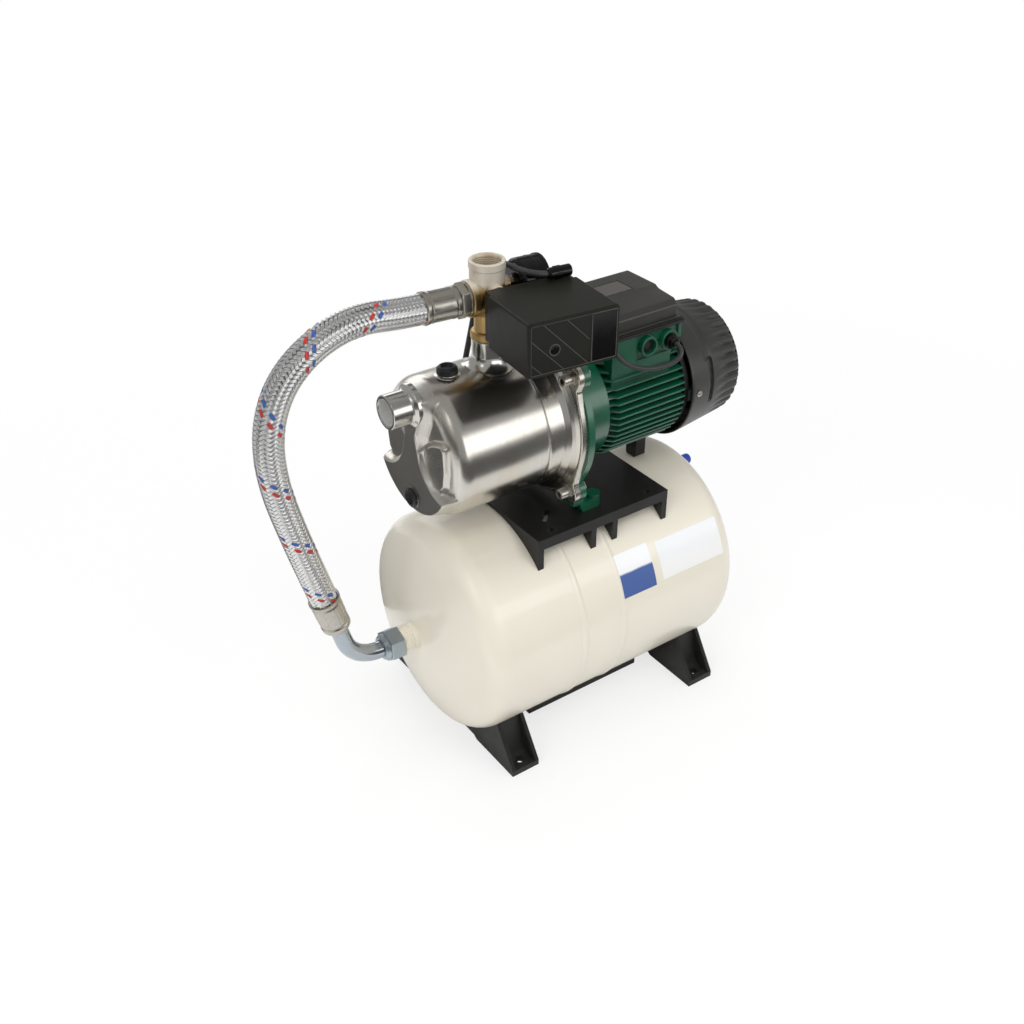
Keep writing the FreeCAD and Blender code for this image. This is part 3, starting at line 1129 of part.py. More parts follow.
def leads():
    tube("mains_lead", MAINS_ROUTE, s.lead_radius, "mains lead")
    tube("motor_lead", MOTOR_ROUTE, s.small_lead_radius, "switch to motor lead")
    coil = new_body("mains_coil")
    inner, outer = s.coil_radius - s.coil_half_width, s.coil_radius + s.coil_half_width
    turned(coil, [(inner, 0), (outer, 0), (outer, s.lead_radius * 2), (outer - 4, s.coil_height),
                  (inner + 4, s.coil_height), (inner, s.lead_radius * 2)], "V_Axis")
    place(coil, s.coil_x, s.coil_y, 0)
    plug = new_body("mains_plug")
    radius, length = s.plug_radius, s.plug_length
    turned(plug, [(0, 0), (0, 4.2), (16, 6), (22, radius - 3), (26, radius), (16 + length - 3, radius),
                  (16 + length, radius - 2), (16 + length, 0)])
    for side in (-1, 1):
        slab(plug, "X", 15 + length, 35 + length, circles=[(side * 9.5, 0, 2.4)])
    drop = radius - s.lead_radius * 2
    beside = root(radius * radius - drop * drop) + s.seat_gap
    # its shoulder touches the coil where it lies past the coil's middle
    past = size(26) - s.plug_tail
    place(plug, s.coil_x + s.plug_tail, s.coil_y - root(outer * outer - past * past) - beside, radius, 180)


# build, check and write


tank_shell()
tank_bladder()
air_valve()
foot("foot_left", -s.foot_span_x)
foot("foot_right", s.foot_span_x)
belly_rails()
saddle()
pump_foot_screws()
pump_casing()
plugs()
diffuser()
ejector()
impeller()
seals()
motor_bracket()
casing_bolts()
motor_frame()
motor_inside()
end_shield()
fan_cover()
fan_cover_screws()
cooling_fan()
motor_support()
terminal_box()
five_way_fitting()
gauge()
pressure_switch()
hose_pieces()
leads()
doc.recompute()

faults = [f"{o.Name} {o.State}" for o in doc.Objects if "Invalid" in o.State or "Error" in o.State]
for node in nodes:
    shape = node.Shape
    if shape.isNull() or not shape.isValid() or not shape.Solids:
        faults.append(f"{node.Label} has no sound shape")
if faults:
    raise SystemExit("\n".join(faults))

os.makedirs("parts", exist_ok=True)
for node in nodes:
    node.Shape.exportStep(f"parts/{node.Label}.step")
print(len(nodes), "nodes")
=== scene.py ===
import math

import bmesh
import bpy
from mathutils import Matrix, Vector


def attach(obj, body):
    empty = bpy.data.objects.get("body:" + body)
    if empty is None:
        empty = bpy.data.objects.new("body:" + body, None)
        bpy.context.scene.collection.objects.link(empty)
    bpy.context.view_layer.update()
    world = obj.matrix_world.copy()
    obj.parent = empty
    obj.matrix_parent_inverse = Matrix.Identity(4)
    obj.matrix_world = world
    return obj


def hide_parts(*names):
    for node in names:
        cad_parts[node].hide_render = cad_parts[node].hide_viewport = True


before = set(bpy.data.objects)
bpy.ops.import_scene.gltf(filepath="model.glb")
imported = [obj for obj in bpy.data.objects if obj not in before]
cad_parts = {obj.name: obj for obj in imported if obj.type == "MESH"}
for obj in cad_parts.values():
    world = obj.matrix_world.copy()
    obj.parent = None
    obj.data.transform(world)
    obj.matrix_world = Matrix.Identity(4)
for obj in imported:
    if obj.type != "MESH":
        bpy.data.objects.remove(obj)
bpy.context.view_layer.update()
mm = 0.001
pumpAxis = 407
tankAxis = 154.5
print("frame loaded,", len(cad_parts), "nodes")


def linked(name, data):
    obj = bpy.data.objects.new(name, data)
    bpy.context.scene.collection.objects.link(obj)
    return obj


def plainMesh(obj):
    # the mesh that an object's modifiers or its curve make
    return bpy.data.meshes.new_from_object(obj.evaluated_get(bpy.context.evaluated_depsgraph_get()))


# camera at the photograph's view
camera = linked("photoCamera", bpy.data.cameras.new("photoCamera"))
camera.location = (-0.7731, -1.0040, 1.0844)
aim = Vector((-0.0674, 0, 0.2771)) - camera.location
camera.rotation_euler = aim.to_track_quat("-Z", "Y").to_euler()
camera.data.lens = 42.64
camera.data.sensor_width = 36
camera.data.clip_start = 0.05
camera.data.clip_end = 40
bpy.context.scene.camera = camera
bpy.context.scene.view_settings.view_transform = "Standard"


def ink(red, green, blue):
    # screen colour 0 to 255, as the shader's linear colour
    def linear(level):
        level /= 255
        return level / 12.92 if level <= 0.04045 else ((level + 0.055) / 1.055) ** 2.4
    return (linear(red), linear(green), linear(blue), 1)


class Wire:
    # a socket that can be used in sums
    def __init__(self, graph, socket):
        self.graph = graph
        self.socket = socket

    def math(self, operation, *others, flip=False):
        values = list(others) + [self] if flip else [self] + list(others)
        return self.graph.node("ShaderNodeMath", {"operation": operation}, dict(enumerate(values)))

    def __add__(self, other):
        return self.math("ADD", other)

    def __sub__(self, other):
        return self.math("SUBTRACT", other)

    def __rsub__(self, other):
        return self.math("SUBTRACT", other, flip=True)

    def __mul__(self, other):
        return self.math("MULTIPLY", other)

    def __truediv__(self, other):
        return self.math("DIVIDE", other)

    __radd__ = __add__
    __rmul__ = __mul__

    def within(self, low, high):
        # 0 below low, 1 above high, smooth between
        return self.graph.node("ShaderNodeMapRange", {"interpolation_type": "SMOOTHSTEP"},
                               {"Value": self, "From Min": low, "From Max": high})


class Graph:
    def __init__(self, tree):
        self.tree = tree

    def feed(self, socket, value):
        if isinstance(value, Wire):
            self.tree.links.new(value.socket, socket)
        else:
            socket.default_value = value

    def node(self, kind, settings=None, sockets=None, out=0):
        made = self.tree.nodes.new(kind)
        for key, value in (settings or {}).items():
            setattr(made, key, value)
        for key, value in (sockets or {}).items():
            self.feed(made.inputs[key], value)
        return Wire(self, made.outputs[out])

    def vector(self, operation, *values):
        return self.node("ShaderNodeVectorMath", {"operation": operation}, dict(enumerate(values)))

    def scaled(self, vector, factor):
        return self.node("ShaderNodeVectorMath", {"operation": "SCALE"}, {0: vector, 3: factor})

    def point(self, x=0.0, y=0.0, z=0.0):
        return self.node("ShaderNodeCombineXYZ", {}, {0: x, 1: y, 2: z})


class Finish(Graph):
    # one material: constants on the shader, then what varies over the surface
    def __init__(self, name, colour, roughness=0.4, **constants):
        self.material = bpy.data.materials.new(name)
        self.material.use_nodes = True
        super().__init__(self.material.node_tree)
        self.shader = self.tree.nodes["Principled BSDF"]
        self.shader.inputs["Base Color"].default_value = colour
        self.shader.inputs["Roughness"].default_value = roughness
        for key, value in constants.items():
            self.shader.inputs[key.replace("_", " ")].default_value = value
        self.place = self.node("ShaderNodeTexCoord", out="Object")

    def noise(self, scale, detail=2, stretch=(1, 1, 1)):
        place = self.vector("MULTIPLY", self.place, stretch)
        return self.node("ShaderNodeTexNoise", {}, {"Vector": place, "Scale": scale, "Detail": detail})

    def attribute(self, name):
        return self.node("ShaderNodeAttribute", {"attribute_name": name}, out="Fac")

    def axis(self, letter):
        return self.node("ShaderNodeSeparateXYZ", {}, {0: self.place}, out=letter)

    def mixed(self, first, second, share):
        return self.node("ShaderNodeMix", {"data_type": "RGBA"}, {0: share, 6: first, 7: second}, out=2)

    def paint(self, first, second, share):
        self.feed(self.shader.inputs["Base Color"], self.mixed(first, second, share))

    def gloss(self, roughness):
        self.feed(self.shader.inputs["Roughness"], roughness)

    def relief(self, height, distance, strength=1.0):
        bump = self.node("ShaderNodeBump", {}, {"Strength": strength, "Distance": distance, "Height": height})
        self.feed(self.shader.inputs["Normal"], bump)


def shade(colour, factor):
    return tuple(min(1, channel * factor) for channel in colour[:3]) + (1,)


def creamEnamel():
    tone = ink(231, 225, 209)
    skin = Finish("creamEnamel", tone, 0.3, Coat_Weight=0.45, Coat_Roughness=0.07)
    cloud = skin.noise(5, 3)
    height = skin.axis("Z")
    along = skin.axis("X").math("ABSOLUTE")
    # faint scorch where the feet are welded on
    heat = (1 - height.within(0.012, 0.058)) * along.within(0.112, 0.122) * (1 - along.within(0.165, 0.176))
    scorch = heat * skin.noise(38, 3).within(0.35, 0.7) * 0.55
    base = skin.mixed(tone, shade(tone, 0.95), cloud.within(0.35, 0.75))
    skin.paint(base, ink(196, 170, 142), scorch)
    skin.gloss(0.26 + skin.noise(60, 2) * 0.12)
    skin.relief(skin.noise(420, 2) + skin.noise(90, 1) * 0.6, 0.00005, 0.4)
    return skin.material


def texturedBlack(name, tone, rough=0.5, grain=900, depth=0.00012, scuff=0.35, shine=0.35):
    # moulded or powder coated black, with a fine texture and paler rubbed spots
    skin = Finish(name, tone, rough, Specular_IOR_Level=shine)
    grime = skin.noise(26, 4).within(0.45, 0.8) * scuff
    skin.paint(tone, shade(tone, 2.2), grime)
    skin.gloss(rough - 0.06 + skin.noise(70, 3) * 0.14)
    skin.relief(skin.noise(grain, 2), depth, 0.7)
    return skin.material


def pressedSteel(name, tone, rough, lines, lineStretch, depth=0.00004, tint=0.0, dull=None):
    # polished or brushed metal: fine lines across lineStretch's long axes, heat tint in soft clouds;
    # dull is a span of x that grows matter towards its low end
    skin = Finish(name, tone, rough, Metallic=1.0)
    brushed = skin.mixed(tone, shade(tone, 0.78), skin.noise(lines, 3, lineStretch) * 0.7)
    skin.paint(brushed, ink(176, 150, 112), skin.noise(14, 3).within(0.42, 0.75) * tint)
    sheen = rough + (skin.noise(18, 3) - 0.5) * rough * 0.6 + skin.noise(lines, 2, lineStretch) * rough * 0.4
    if dull:
        sheen = sheen + (1 - skin.axis("X").within(*dull)) * 0.07
    skin.gloss(sheen)
    skin.relief(skin.noise(lines, 2, lineStretch), depth, 0.5)
    return skin.material


def castBrass():
    # sandy on the upper collar, paler there partly from a rougher sandy finish and partly as a painted
    # reflection of the bright space above; golden below, olive in the tarnished clouds
    tone = ink(190, 160, 106)
    skin = Finish("castBrass", tone, 0.34, Metallic=1.0)
    # the collar mask: paler, rougher and less metallic above this height, partly a painted reflection of the
    # light from above
    collarSheen = skin.axis("Z").within(0.577, 0.586)
    body = skin.mixed(tone, ink(212, 203, 188), collarSheen)
    skin.paint(body, ink(150, 128, 76), skin.noise(42, 4).within(0.46, 0.74) * 0.5)
    skin.gloss(0.3 + skin.noise(85, 3) * 0.16 + collarSheen * 0.14)
    skin.feed(skin.shader.inputs["Metallic"], 1 - collarSheen * 0.6)
    skin.relief(skin.noise(620, 3), 0.0001, 0.5)
    return skin.material


def motorGreen():
    tone = ink(8, 84, 58)
    skin = Finish("motorGreen", tone, 0.3, Coat_Weight=0.8, Coat_Roughness=0.2)
    skin.paint(tone, ink(6, 76, 52), skin.noise(22, 3).within(0.35, 0.75))
    skin.gloss(0.26 + skin.noise(120, 2) * 0.12)
    skin.relief(skin.noise(460, 3), 0.00014, 0.6)
    return skin.material


def braidWire():
    # bright wire, with painted shade where a strand dives under and in the grooves between its three wires,
    # and the two tracer colours
    tone = ink(244, 244, 243)
    skin = Finish("braidWire", tone, 0.26, Metallic=1.0)
    tracer = skin.attribute("tracer")
    red = tracer.math("COMPARE", 1.0, 0.2)
    blue = tracer.math("COMPARE", 2.0, 0.2)
    wires = (skin.attribute("acrossStrand") * 18.85).math("COSINE") * -1  # three wires to a strand
    # painted shade: the wire goes near black where the strand sits low and darker between its wires
    lit = skin.attribute("lifted").within(0.15, 0.65) * (1 - (wires * -1).within(0.1, 1.0) * 0.72)
    shadedWire = skin.mixed(shade(tone, 0.1), tone, lit)
    skin.paint(skin.mixed(shadedWire, ink(178, 52, 50), red), ink(56, 88, 158), blue)
    skin.feed(skin.shader.inputs["Metallic"], 1 - (red + blue) * 0.9)
    skin.relief(wires, 0.00012, 0.6)
    return skin.material


def leadSheath():
    tone = ink(46, 47, 47)
    skin = Finish("leadSheath", tone, 0.42)
    skin.paint(tone, shade(tone, 0.75), skin.noise(40, 3).within(0.4, 0.8))
    skin.gloss(0.36 + skin.noise(200, 2) * 0.14)
    skin.relief(skin.noise(700, 2), 0.00005, 0.5)
    return skin.material


def plainProcedural(name, tone, rough, metallic=0.0, grain=500):
    skin = Finish(name, tone, rough, Metallic=metallic)
    skin.paint(tone, shade(tone, 0.8), skin.noise(60, 3).within(0.4, 0.75))
    skin.gloss(rough - 0.05 + skin.noise(150, 2) * 0.12)
    skin.relief(skin.noise(grain, 2), 0.00008, 0.5)
    return skin.material


def clearCover():
    skin = Finish("clearCover", (0.95, 0.97, 0.97, 1), 0.04, Transmission_Weight=1.0, IOR=1.45)
    skin.gloss(0.03 + skin.noise(80, 2) * 0.03)
    return skin.material


def labelFilm(name, tone, second, low, high):
    # printed film, left bare: a wash from one tone to the other round the vessel
    skin = Finish(name, tone, 0.3, Coat_Weight=0.3, Coat_Roughness=0.08)
    soft = skin.noise(30, 3) * 0.002 + skin.axis("Z")
    skin.paint(tone, second, soft.within(low, high))
    skin.gloss(0.25 + skin.noise(90, 2) * 0.1)
    return skin.material


finishes = {
    "cream": creamEnamel(),
    "footBlack": texturedBlack("footBlack", ink(34, 34, 33), 0.46),
    "saddleBlack": texturedBlack("saddleBlack", ink(24, 24, 23), 0.42, 700),
    "fanBlack": texturedBlack("fanBlack", ink(40, 40, 38), 0.38, 1400, 0.00004, 0.15, 0.55),
    "switchOlive": texturedBlack("switchOlive", ink(25, 25, 20), 0.36, 1500, 0.00004, 0.12, 0.24),
    # paler olive for the switch cover's thin lines: painted highlight along edges that catch the light, with
    # a few rubbed spots
    "rubbedOlive": texturedBlack("rubbedOlive", ink(72, 71, 66), 0.34, 1500, 0.00004, 0.12, 0.5),
    "lidBlack": texturedBlack("lidBlack", ink(44, 43, 41), 0.32, 1500, 0.00004, 0.2, 0.55),
    "plateGrey": texturedBlack("plateGrey", ink(74, 71, 68), 0.4, 500, 0.0001, 0.4, 0.5),
    "glossBlack": texturedBlack("glossBlack", ink(8, 8, 8), 0.13, 1500, 0.00001, 0.1, 0.3),
    "plugBlack": texturedBlack("plugBlack", ink(24, 25, 25), 0.38, 900, 0.0001, 0.3, 0.45),
    "rubber": texturedBlack("sealRubber", ink(22, 22, 22), 0.5, 600, 0.00008, 0.2, 0.4),
    "polished": pressedSteel("polishedSteel", ink(212, 209, 202), 0.18, 900, (1, 0.02, 0.02), tint=0.22,
                             dull=(-0.191, -0.178)),
    "neck": pressedSteel("neckSteel", ink(211, 210, 204), 0.15, 700, (0.05, 1, 1), tint=0.15),
    "flange": pressedSteel("flangeSteel", ink(200, 198, 190), 0.22, 500, (0.05, 1, 1), tint=0.2),
    "zinc": pressedSteel("zincPlate", ink(200, 196, 188), 0.26, 300, (1, 1, 1), 0.00006, 0.2),
    "zincBlue": pressedSteel("zincPlateBlue", ink(176, 188, 194), 0.34, 300, (1, 1, 1), 0.00006),
    "crimped": pressedSteel("crimpedSteel", ink(190, 186, 178), 0.26, 260, (0.3, 1, 1), 0.00006, 0.2),
    "chrome": pressedSteel("chromePlate", ink(178, 186, 194), 0.14, 200, (1, 1, 1), 0.00002),
    "brass": castBrass(),
    "green": motorGreen(),
    "braid": braidWire(),
    "lead": leadSheath(),
    "blueCap": plainProcedural("blueCap", ink(28, 70, 178), 0.3),
    "polymer": plainProcedural("mouldedPolymer", ink(88, 88, 86), 0.5),
    "ceramic": plainProcedural("ceramicFace", ink(232, 230, 222), 0.25),
    "darkSteel": plainProcedural("laminatedSteel", ink(120, 120, 122), 0.4, 1.0),
    "copper": plainProcedural("windingCopper", ink(176, 96, 52), 0.35, 1.0),
    # near black for the end shield: painted shade of the dark gap between the fins and the fan cover
    "shieldDark": plainProcedural("shieldDark", ink(24, 27, 26), 0.5),
    "dialWhite": plainProcedural("dialWhite", ink(240, 240, 236), 0.45),
    "clear": clearCover(),
    "frosted": plainProcedural("frostedSteel", ink(212, 212, 209), 0.5, 0.1),
    "braidCore": plainProcedural("braidCore", ink(34, 34, 34), 0.5),
    "labelBlue": labelFilm("labelBlue", ink(72, 98, 158), ink(238, 239, 240), 0.2235, 0.2265),
    "labelPale": labelFilm("labelPale", ink(240, 240, 238), ink(232, 234, 236), 0.20, 0.24),
}
# the slot of each finish; the others are black_plastic
slots = {"cream": "cream_paint", "labelBlue": "cream_paint", "labelPale": "cream_paint",
         "rubber": "black_rubber", "brass": "brass", "green": "green_paint", "blueCap": "blue_plastic",
         "clear": "clear_window", "dialWhite": "white_paint", "braid": "steel_braid",
         "braidCore": "steel_braid", "lead": "lead_sheath",
         **dict.fromkeys(("polished", "neck", "flange", "frosted"), "stainless"),
         **dict.fromkeys(("zinc", "zincBlue", "crimped", "chrome"), "zinc_steel")}
print("finishes made,", len(finishes))


def clamp(value):
    return max(0, min(1, value))


def smooth(share):
    return share * share * (3 - 2 * share)


def evaluated(obj):
    # the object with its modifiers made into a plain mesh
    mesh = plainMesh(obj)
    obj.modifiers.clear()
    obj.data = mesh
    return obj


def settle(obj, name, finish, nodes=(), angle=40, weighted=True, body="pump_set", slot=None):
    # smooth shading, sharp edges by angle, then the calls that tie the piece to the frame
    mesh = obj.data
    mesh.polygons.foreach_set("use_smooth", [True] * len(mesh.polygons))
    mesh.set_sharp_from_angle(angle=math.radians(angle))
    if weighted:
        weigh = obj.modifiers.new("evenNormals", "WEIGHTED_NORMAL")
        weigh.keep_sharp = True
        weigh.weight = 60
        evaluated(obj)
        bpy.data.meshes.remove(mesh)
    obj.name = name
    obj.data.name = name
    obj.data.materials.clear()
    obj.data.materials.append(finishes[finish])
    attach(obj, body)
    if nodes:
        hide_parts(*nodes)
    return obj


def loose(form, name):
    # the form as an object, its faces outwards
    bmesh.ops.recalc_face_normals(form, faces=form.faces)
    mesh = bpy.data.meshes.new(name)
    form.to_mesh(mesh)
    form.free()
    return linked(name, mesh)


def addPiece(form, name, finish, nodes=(), angle=40, weighted=True, merge=0.00001, **more):
    bmesh.ops.remove_doubles(form, verts=form.verts, dist=merge)
    return settle(loose(form, name), name, finish, nodes, angle, weighted, **more)


def eased(corners, steps=5, closed=False):
    # an outline with its corners rounded: each corner is (u, v) or (u, v, radius)
    line, count = [], len(corners)
    for i, corner in enumerate(corners):
        here = Vector(corner[:2])
        radius = corner[2] if len(corner) > 2 else 0
        if not radius or (not closed and i in (0, count - 1)):
            line.append(here)
            continue
        before = Vector(corners[i - 1][:2]) - here
        after = Vector(corners[(i + 1) % count][:2]) - here
        half = before.angle(after) / 2
        reach = min(radius / math.tan(half), before.length * 0.49, after.length * 0.49)
        radius = reach * math.tan(half)
        centre = here + (before.normalized() + after.normalized()).normalized() * (radius / math.sin(half))
        start = here + before.normalized() * reach - centre
        stop = here + after.normalized() * reach - centre
        first = math.atan2(start.y, start.x)
        turn = (math.atan2(stop.y, stop.x) - first + math.pi) % (2 * math.pi) - math.pi
        for k in range(steps + 1):
            angle = first + turn * k / steps
            line.append(centre + radius * Vector((math.cos(angle), math.sin(angle))))
    return line


def oblong(u0, u1, v0, v1, soft=0.0):
    # a rectangle's corners, each with its rounding
    return [(u0, v0, soft), (u1, v0, soft), (u1, v1, soft), (u0, v1, soft)]


def hexagon(flats, turn=0, soft=0.6):
    # outline of a nut or head, with eased corners
    reach = flats / math.sqrt(3)
    turns = [math.radians(60 * k + turn) for k in range(6)]
    return eased([(reach * math.cos(a), reach * math.sin(a), soft) for a in turns], 3, True)


def arc(u, v, radius, first, turn, count, skip=0):
    # points on a round; skip leaves out the first ones
    angles = [first + turn * k / count for k in range(skip, count + 1)]
    return [(u + radius * math.cos(a), v + radius * math.sin(a)) for a in angles]


def axes(origin, along, up=(0, 0, 1)):
    # a frame in millimetres: its Z runs along, its X is as near up as it can be
    z = Vector(along).normalized()
    x = (Vector(up) - z * Vector(up).dot(z))
    if x.length < 1e-6:
        x = Vector((1, 0, 0)) - z * z.x
    x.normalize()
    y = z.cross(x)
    turn = Matrix((x, y, z)).transposed().to_4x4()
    return Matrix.Scale(mm, 4) @ Matrix.Translation(Vector(origin)) @ turn


# drawn upright facing -Y, drawn upright facing +X, and the fitting's own frame
facingFront = Matrix(((1, 0, 0, 0), (0, 0, -1, 0), (0, 1, 0, 0), (0, 0, 0, 1)))
facingSide = Matrix(((0, 0, 1, 0), (1, 0, 0, 0), (0, 1, 0, 0), (0, 0, 0, 1)))
upright = axes((0, 0, 0), (0, 0, 1), (1, 0, 0))
teeTurn = Matrix.Scale(mm, 4) @ Matrix.Translation((-99.6, 0, 0)) @ Matrix.Rotation(math.radians(-6), 4, "Z")


def atTee(origin, along, up=(0, 0, 1)):
    return teeTurn @ Matrix.Scale(1000, 4) @ axes(origin, along, up)


def bodyFrame(x=0, z=pumpAxis):
    # along the pump, motor or vessel
    return axes((x, 0, z), (1, 0, 0))


def bridge(form, rings):
    # quads between rings that have the same number of points
    for one, two in zip(rings, rings[1:]):
        for k in range(len(one)):
            m = (k + 1) % len(one)
            form.faces.new((one[k], one[m], two[m], two[k]))


def spin(form, line, steps, place, closed=False, shape=None):
    # a lathe form: line is (along, radius); shape(angle, along, radius) can change a point
    rings, count = [], len(line)
    for along, radius in line:
        if radius < 1e-6:
            rings.append([form.verts.new(place @ Vector((0, 0, along)))])
            continue
        ring = []
        for k in range(steps):
            angle = 2 * math.pi * k / steps
            u, r = shape(angle, along, radius) if shape else (along, radius)
            ring.append(form.verts.new(place @ Vector((r * math.cos(angle), r * math.sin(angle), u))))
        rings.append(ring)
    for i in range(count if closed else count - 1):
        one, two = rings[i], rings[(i + 1) % count]
        for k in range(steps):
            m = (k + 1) % steps
            if len(one) == 1 and len(two) > 1:
                form.faces.new((one[0], two[k], two[m]))
            elif len(two) == 1 and len(one) > 1:
                form.faces.new((one[k], two[0], one[m]))
            elif len(one) > 1:
                form.faces.new((one[k], two[k], two[m], one[m]))


def lathed(name, finish, line, steps, place, nodes=(), angle=40, weighted=True, closed=False, shape=None,
           **more):
    # a piece that is a single lathe form
    form = bmesh.new()
    spin(form, line, steps, place, closed, shape)
    return addPiece(form, name, finish, nodes, angle, weighted, **more)


def inset(outline, distance):
    # the outline moved inwards, for an outline that runs anticlockwise
    moved, count = [], len(outline)
    for i, here in enumerate(outline):
        before = (here - outline[i - 1]).normalized()
        after = (outline[(i + 1) % count] - here).normalized()
        normal = Vector((-before.y - after.y, before.x + after.x))
        if normal.length < 1e-9:
            normal = Vector((-before.y, before.x))
        normal.normalize()
        spread = max(0.5, normal.dot(Vector((-after.y, after.x))))
        moved.append(here + normal * distance / spread)
    return moved


def prism(form, outline, low, high, place, edge=0.6, rounds=2, topEdge=None):
    # an extruded outline whose end edges are rounded
    outline = [Vector(p[:2]) for p in outline]
    if sum(a.x * b.y - b.x * a.y for a, b in zip(outline, outline[1:] + outline[:1])) < 0:
        outline.reverse()
    layers = []
    for size, base, sign in ((edge, low, 1), (edge if topEdge is None else topEdge, high, -1)):
        turns = [math.pi / 2 * k / rounds for k in range(rounds + 1)]
        layers += [(size * (1 - math.sin(t)), base + sign * size * (1 - math.cos(t))) for t in turns][::sign]
    rings = []
    for distance, level in layers:
        shape = inset(outline, distance) if distance > 1e-6 else outline
        rings.append([form.verts.new(place @ Vector((p.x, p.y, level))) for p in shape])
    bridge(form, rings)
    form.faces.new(list(reversed(rings[0])))
    form.faces.new(rings[-1])


def softened(name, node, width, finish, steps=2, **more):
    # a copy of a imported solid, merged and with its edges rounded
    form = bmesh.new()
    form.from_mesh(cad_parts[node].data)
    bmesh.ops.remove_doubles(form, verts=form.verts, dist=0.000002)
    bmesh.ops.dissolve_limit(form, angle_limit=math.radians(0.5), verts=form.verts, edges=form.edges)
    edges = [e for e in form.edges if len(e.link_faces) == 2 and e.calc_face_angle(0) > math.radians(24)]
    bmesh.ops.bevel(form, geom=edges, offset=width * mm, segments=steps, profile=0.5, affect="EDGES",
                    clamp_overlap=True, loop_slide=True)
    return addPiece(form, name, finish, [node], 42, merge=0.000002, **more)


class Tree(Graph):
    # an empty geometry tree with named inputs: {name: (socket type, value)}
    def __init__(self, name, inputs):
        super().__init__(bpy.data.node_groups.new(name, "GeometryNodeTree"))
        face = self.tree.interface
        face.new_socket("Geometry", in_out="INPUT", socket_type="NodeSocketGeometry")
        for label, (kind, value) in inputs.items():
            socket = face.new_socket(label, in_out="INPUT", socket_type="NodeSocket" + kind)
            if value is not None:
                socket.default_value = value
        face.new_socket("Geometry", in_out="OUTPUT", socket_type="NodeSocketGeometry")
        self.wires = {s.name: Wire(self, s) for s in self.tree.nodes.new("NodeGroupInput").outputs if s.name}
        self.stop = self.tree.nodes.new("NodeGroupOutput")

    def put(self, source, count, spot, **how):
        # copies of the source object, one at each spot
        points = self.node("GeometryNodePoints", {}, {"Count": count})
        placed = self.node("GeometryNodeSetPosition", {}, {"Geometry": points, "Position": spot})
        item = self.node("GeometryNodeObjectInfo", {}, {"Object": source}, out="Geometry")
        return self.node("GeometryNodeInstanceOnPoints", {}, {"Points": placed, "Instance": item, **how})

    def stored(self, geometry, name, value, domain="POINT", kind="FLOAT"):
        return self.node("GeometryNodeStoreNamedAttribute", {"data_type": kind, "domain": domain},
                         {"Geometry": geometry, "Name": name, "Value": value})

    def named(self, name, kind="FLOAT"):
        return self.node("GeometryNodeInputNamedAttribute", {"data_type": kind}, {"Name": name})

    def finish(self, geometry):
        solid = self.node("GeometryNodeRealizeInstances", {}, {"Geometry": geometry})
        dressed = self.node("GeometryNodeSetMaterial", {},
                            {"Geometry": solid, "Material": self.wires["Finish"]})
        self.feed(self.stop.inputs[0], dressed)
        return self.tree

    def run(self, obj, **values):
        # puts the tree on the object, sets its inputs by identifier and keeps the plain mesh
        modifier = obj.modifiers.new(self.tree.name, "NODES")
        modifier.node_group = self.tree
        for item in self.tree.interface.items_tree:
            if item.in_out == "INPUT" and item.name in values:
                modifier[item.identifier] = values[item.name]
        return evaluated(obj)


def ringOfCopies():
    tree = Tree("copies", {"Source": ("Object", None), "Count": ("Int", 4), "Radius": ("Float", 0.0),
                           "First": ("Float", 0.0), "Finish": ("Material", None)})
    wires = tree.wires
    angle = tree.node("GeometryNodeInputIndex") * (2 * math.pi) / wires["Count"] + wires["First"]
    spot = tree.point(angle.math("COSINE") * wires["Radius"], angle.math("SINE") * wires["Radius"])
    tree.finish(tree.put(wires["Source"], wires["Count"], spot, Rotation=tree.point(z=angle)))
    return tree


copies = ringOfCopies()


def repeated(form, name, finish, place, count, radius, first=0.0, nodes=()):
    # form is one item in the frame's own millimetres; the tree repeats it, then it goes to its place
    item = loose(form, name + "One")
    holder = linked(name, bpy.data.meshes.new(name))
    copies.run(holder, Source=item, Count=count, Radius=float(radius), First=first, Finish=finishes[finish])
    bpy.data.objects.remove(item)
    holder.data.transform(place)
    return settle(holder, name, finish, nodes)


# cords and hose first: the routes of the source, in metres
hoseRoute = [(-0.1772, 0.00815, 0.567), (-0.203, 0.01087, 0.567), (-0.2503, 0.0096, 0.5743),
             (-0.2932, 0.0084, 0.5653), (-0.3293, 0.0072, 0.5435), (-0.353, 0.006, 0.5135),
             (-0.366, 0.0048, 0.4725), (-0.3646, 0.0034, 0.418), (-0.3512, 0.0018, 0.358),
             (-0.3348, 0, 0.29464), (-0.325, 0, 0.26)]
mainsRoute = [(-0.0429, -0.0409, 0.5918), (-0.0502, -0.0404, 0.592), (-0.0615, -0.0352, 0.5934),
              (-0.0704, -0.025, 0.5949), (-0.074, -0.011, 0.5957), (-0.0743, 0.004, 0.595),
              (-0.0742, 0.0225, 0.59), (-0.0715, 0.0415, 0.5775), (-0.068, 0.058, 0.556),
              (-0.068, 0.071, 0.522), (-0.07, 0.0815, 0.48), (-0.074, 0.0915, 0.432), (-0.078, 0.101, 0.382),
              (-0.076, 0.109, 0.33), (-0.073, 0.122, 0.278), (-0.07, 0.136, 0.228), (-0.067, 0.147, 0.188),
              (-0.064, 0.153, 0.15), (-0.061, 0.156, 0.112), (-0.057, 0.16, 0.072), (-0.05, 0.166, 0.042),
              (-0.041, 0.174, 0.021), (-0.031, 0.187, 0.0085), (-0.022, 0.205, 0.0044),
              (-0.0145, 0.231, 0.0037), (-0.0085, 0.2597, 0.0036), (0.0114, 0.2818, 0.0036),
              (0.04, 0.2856, 0.0035)]
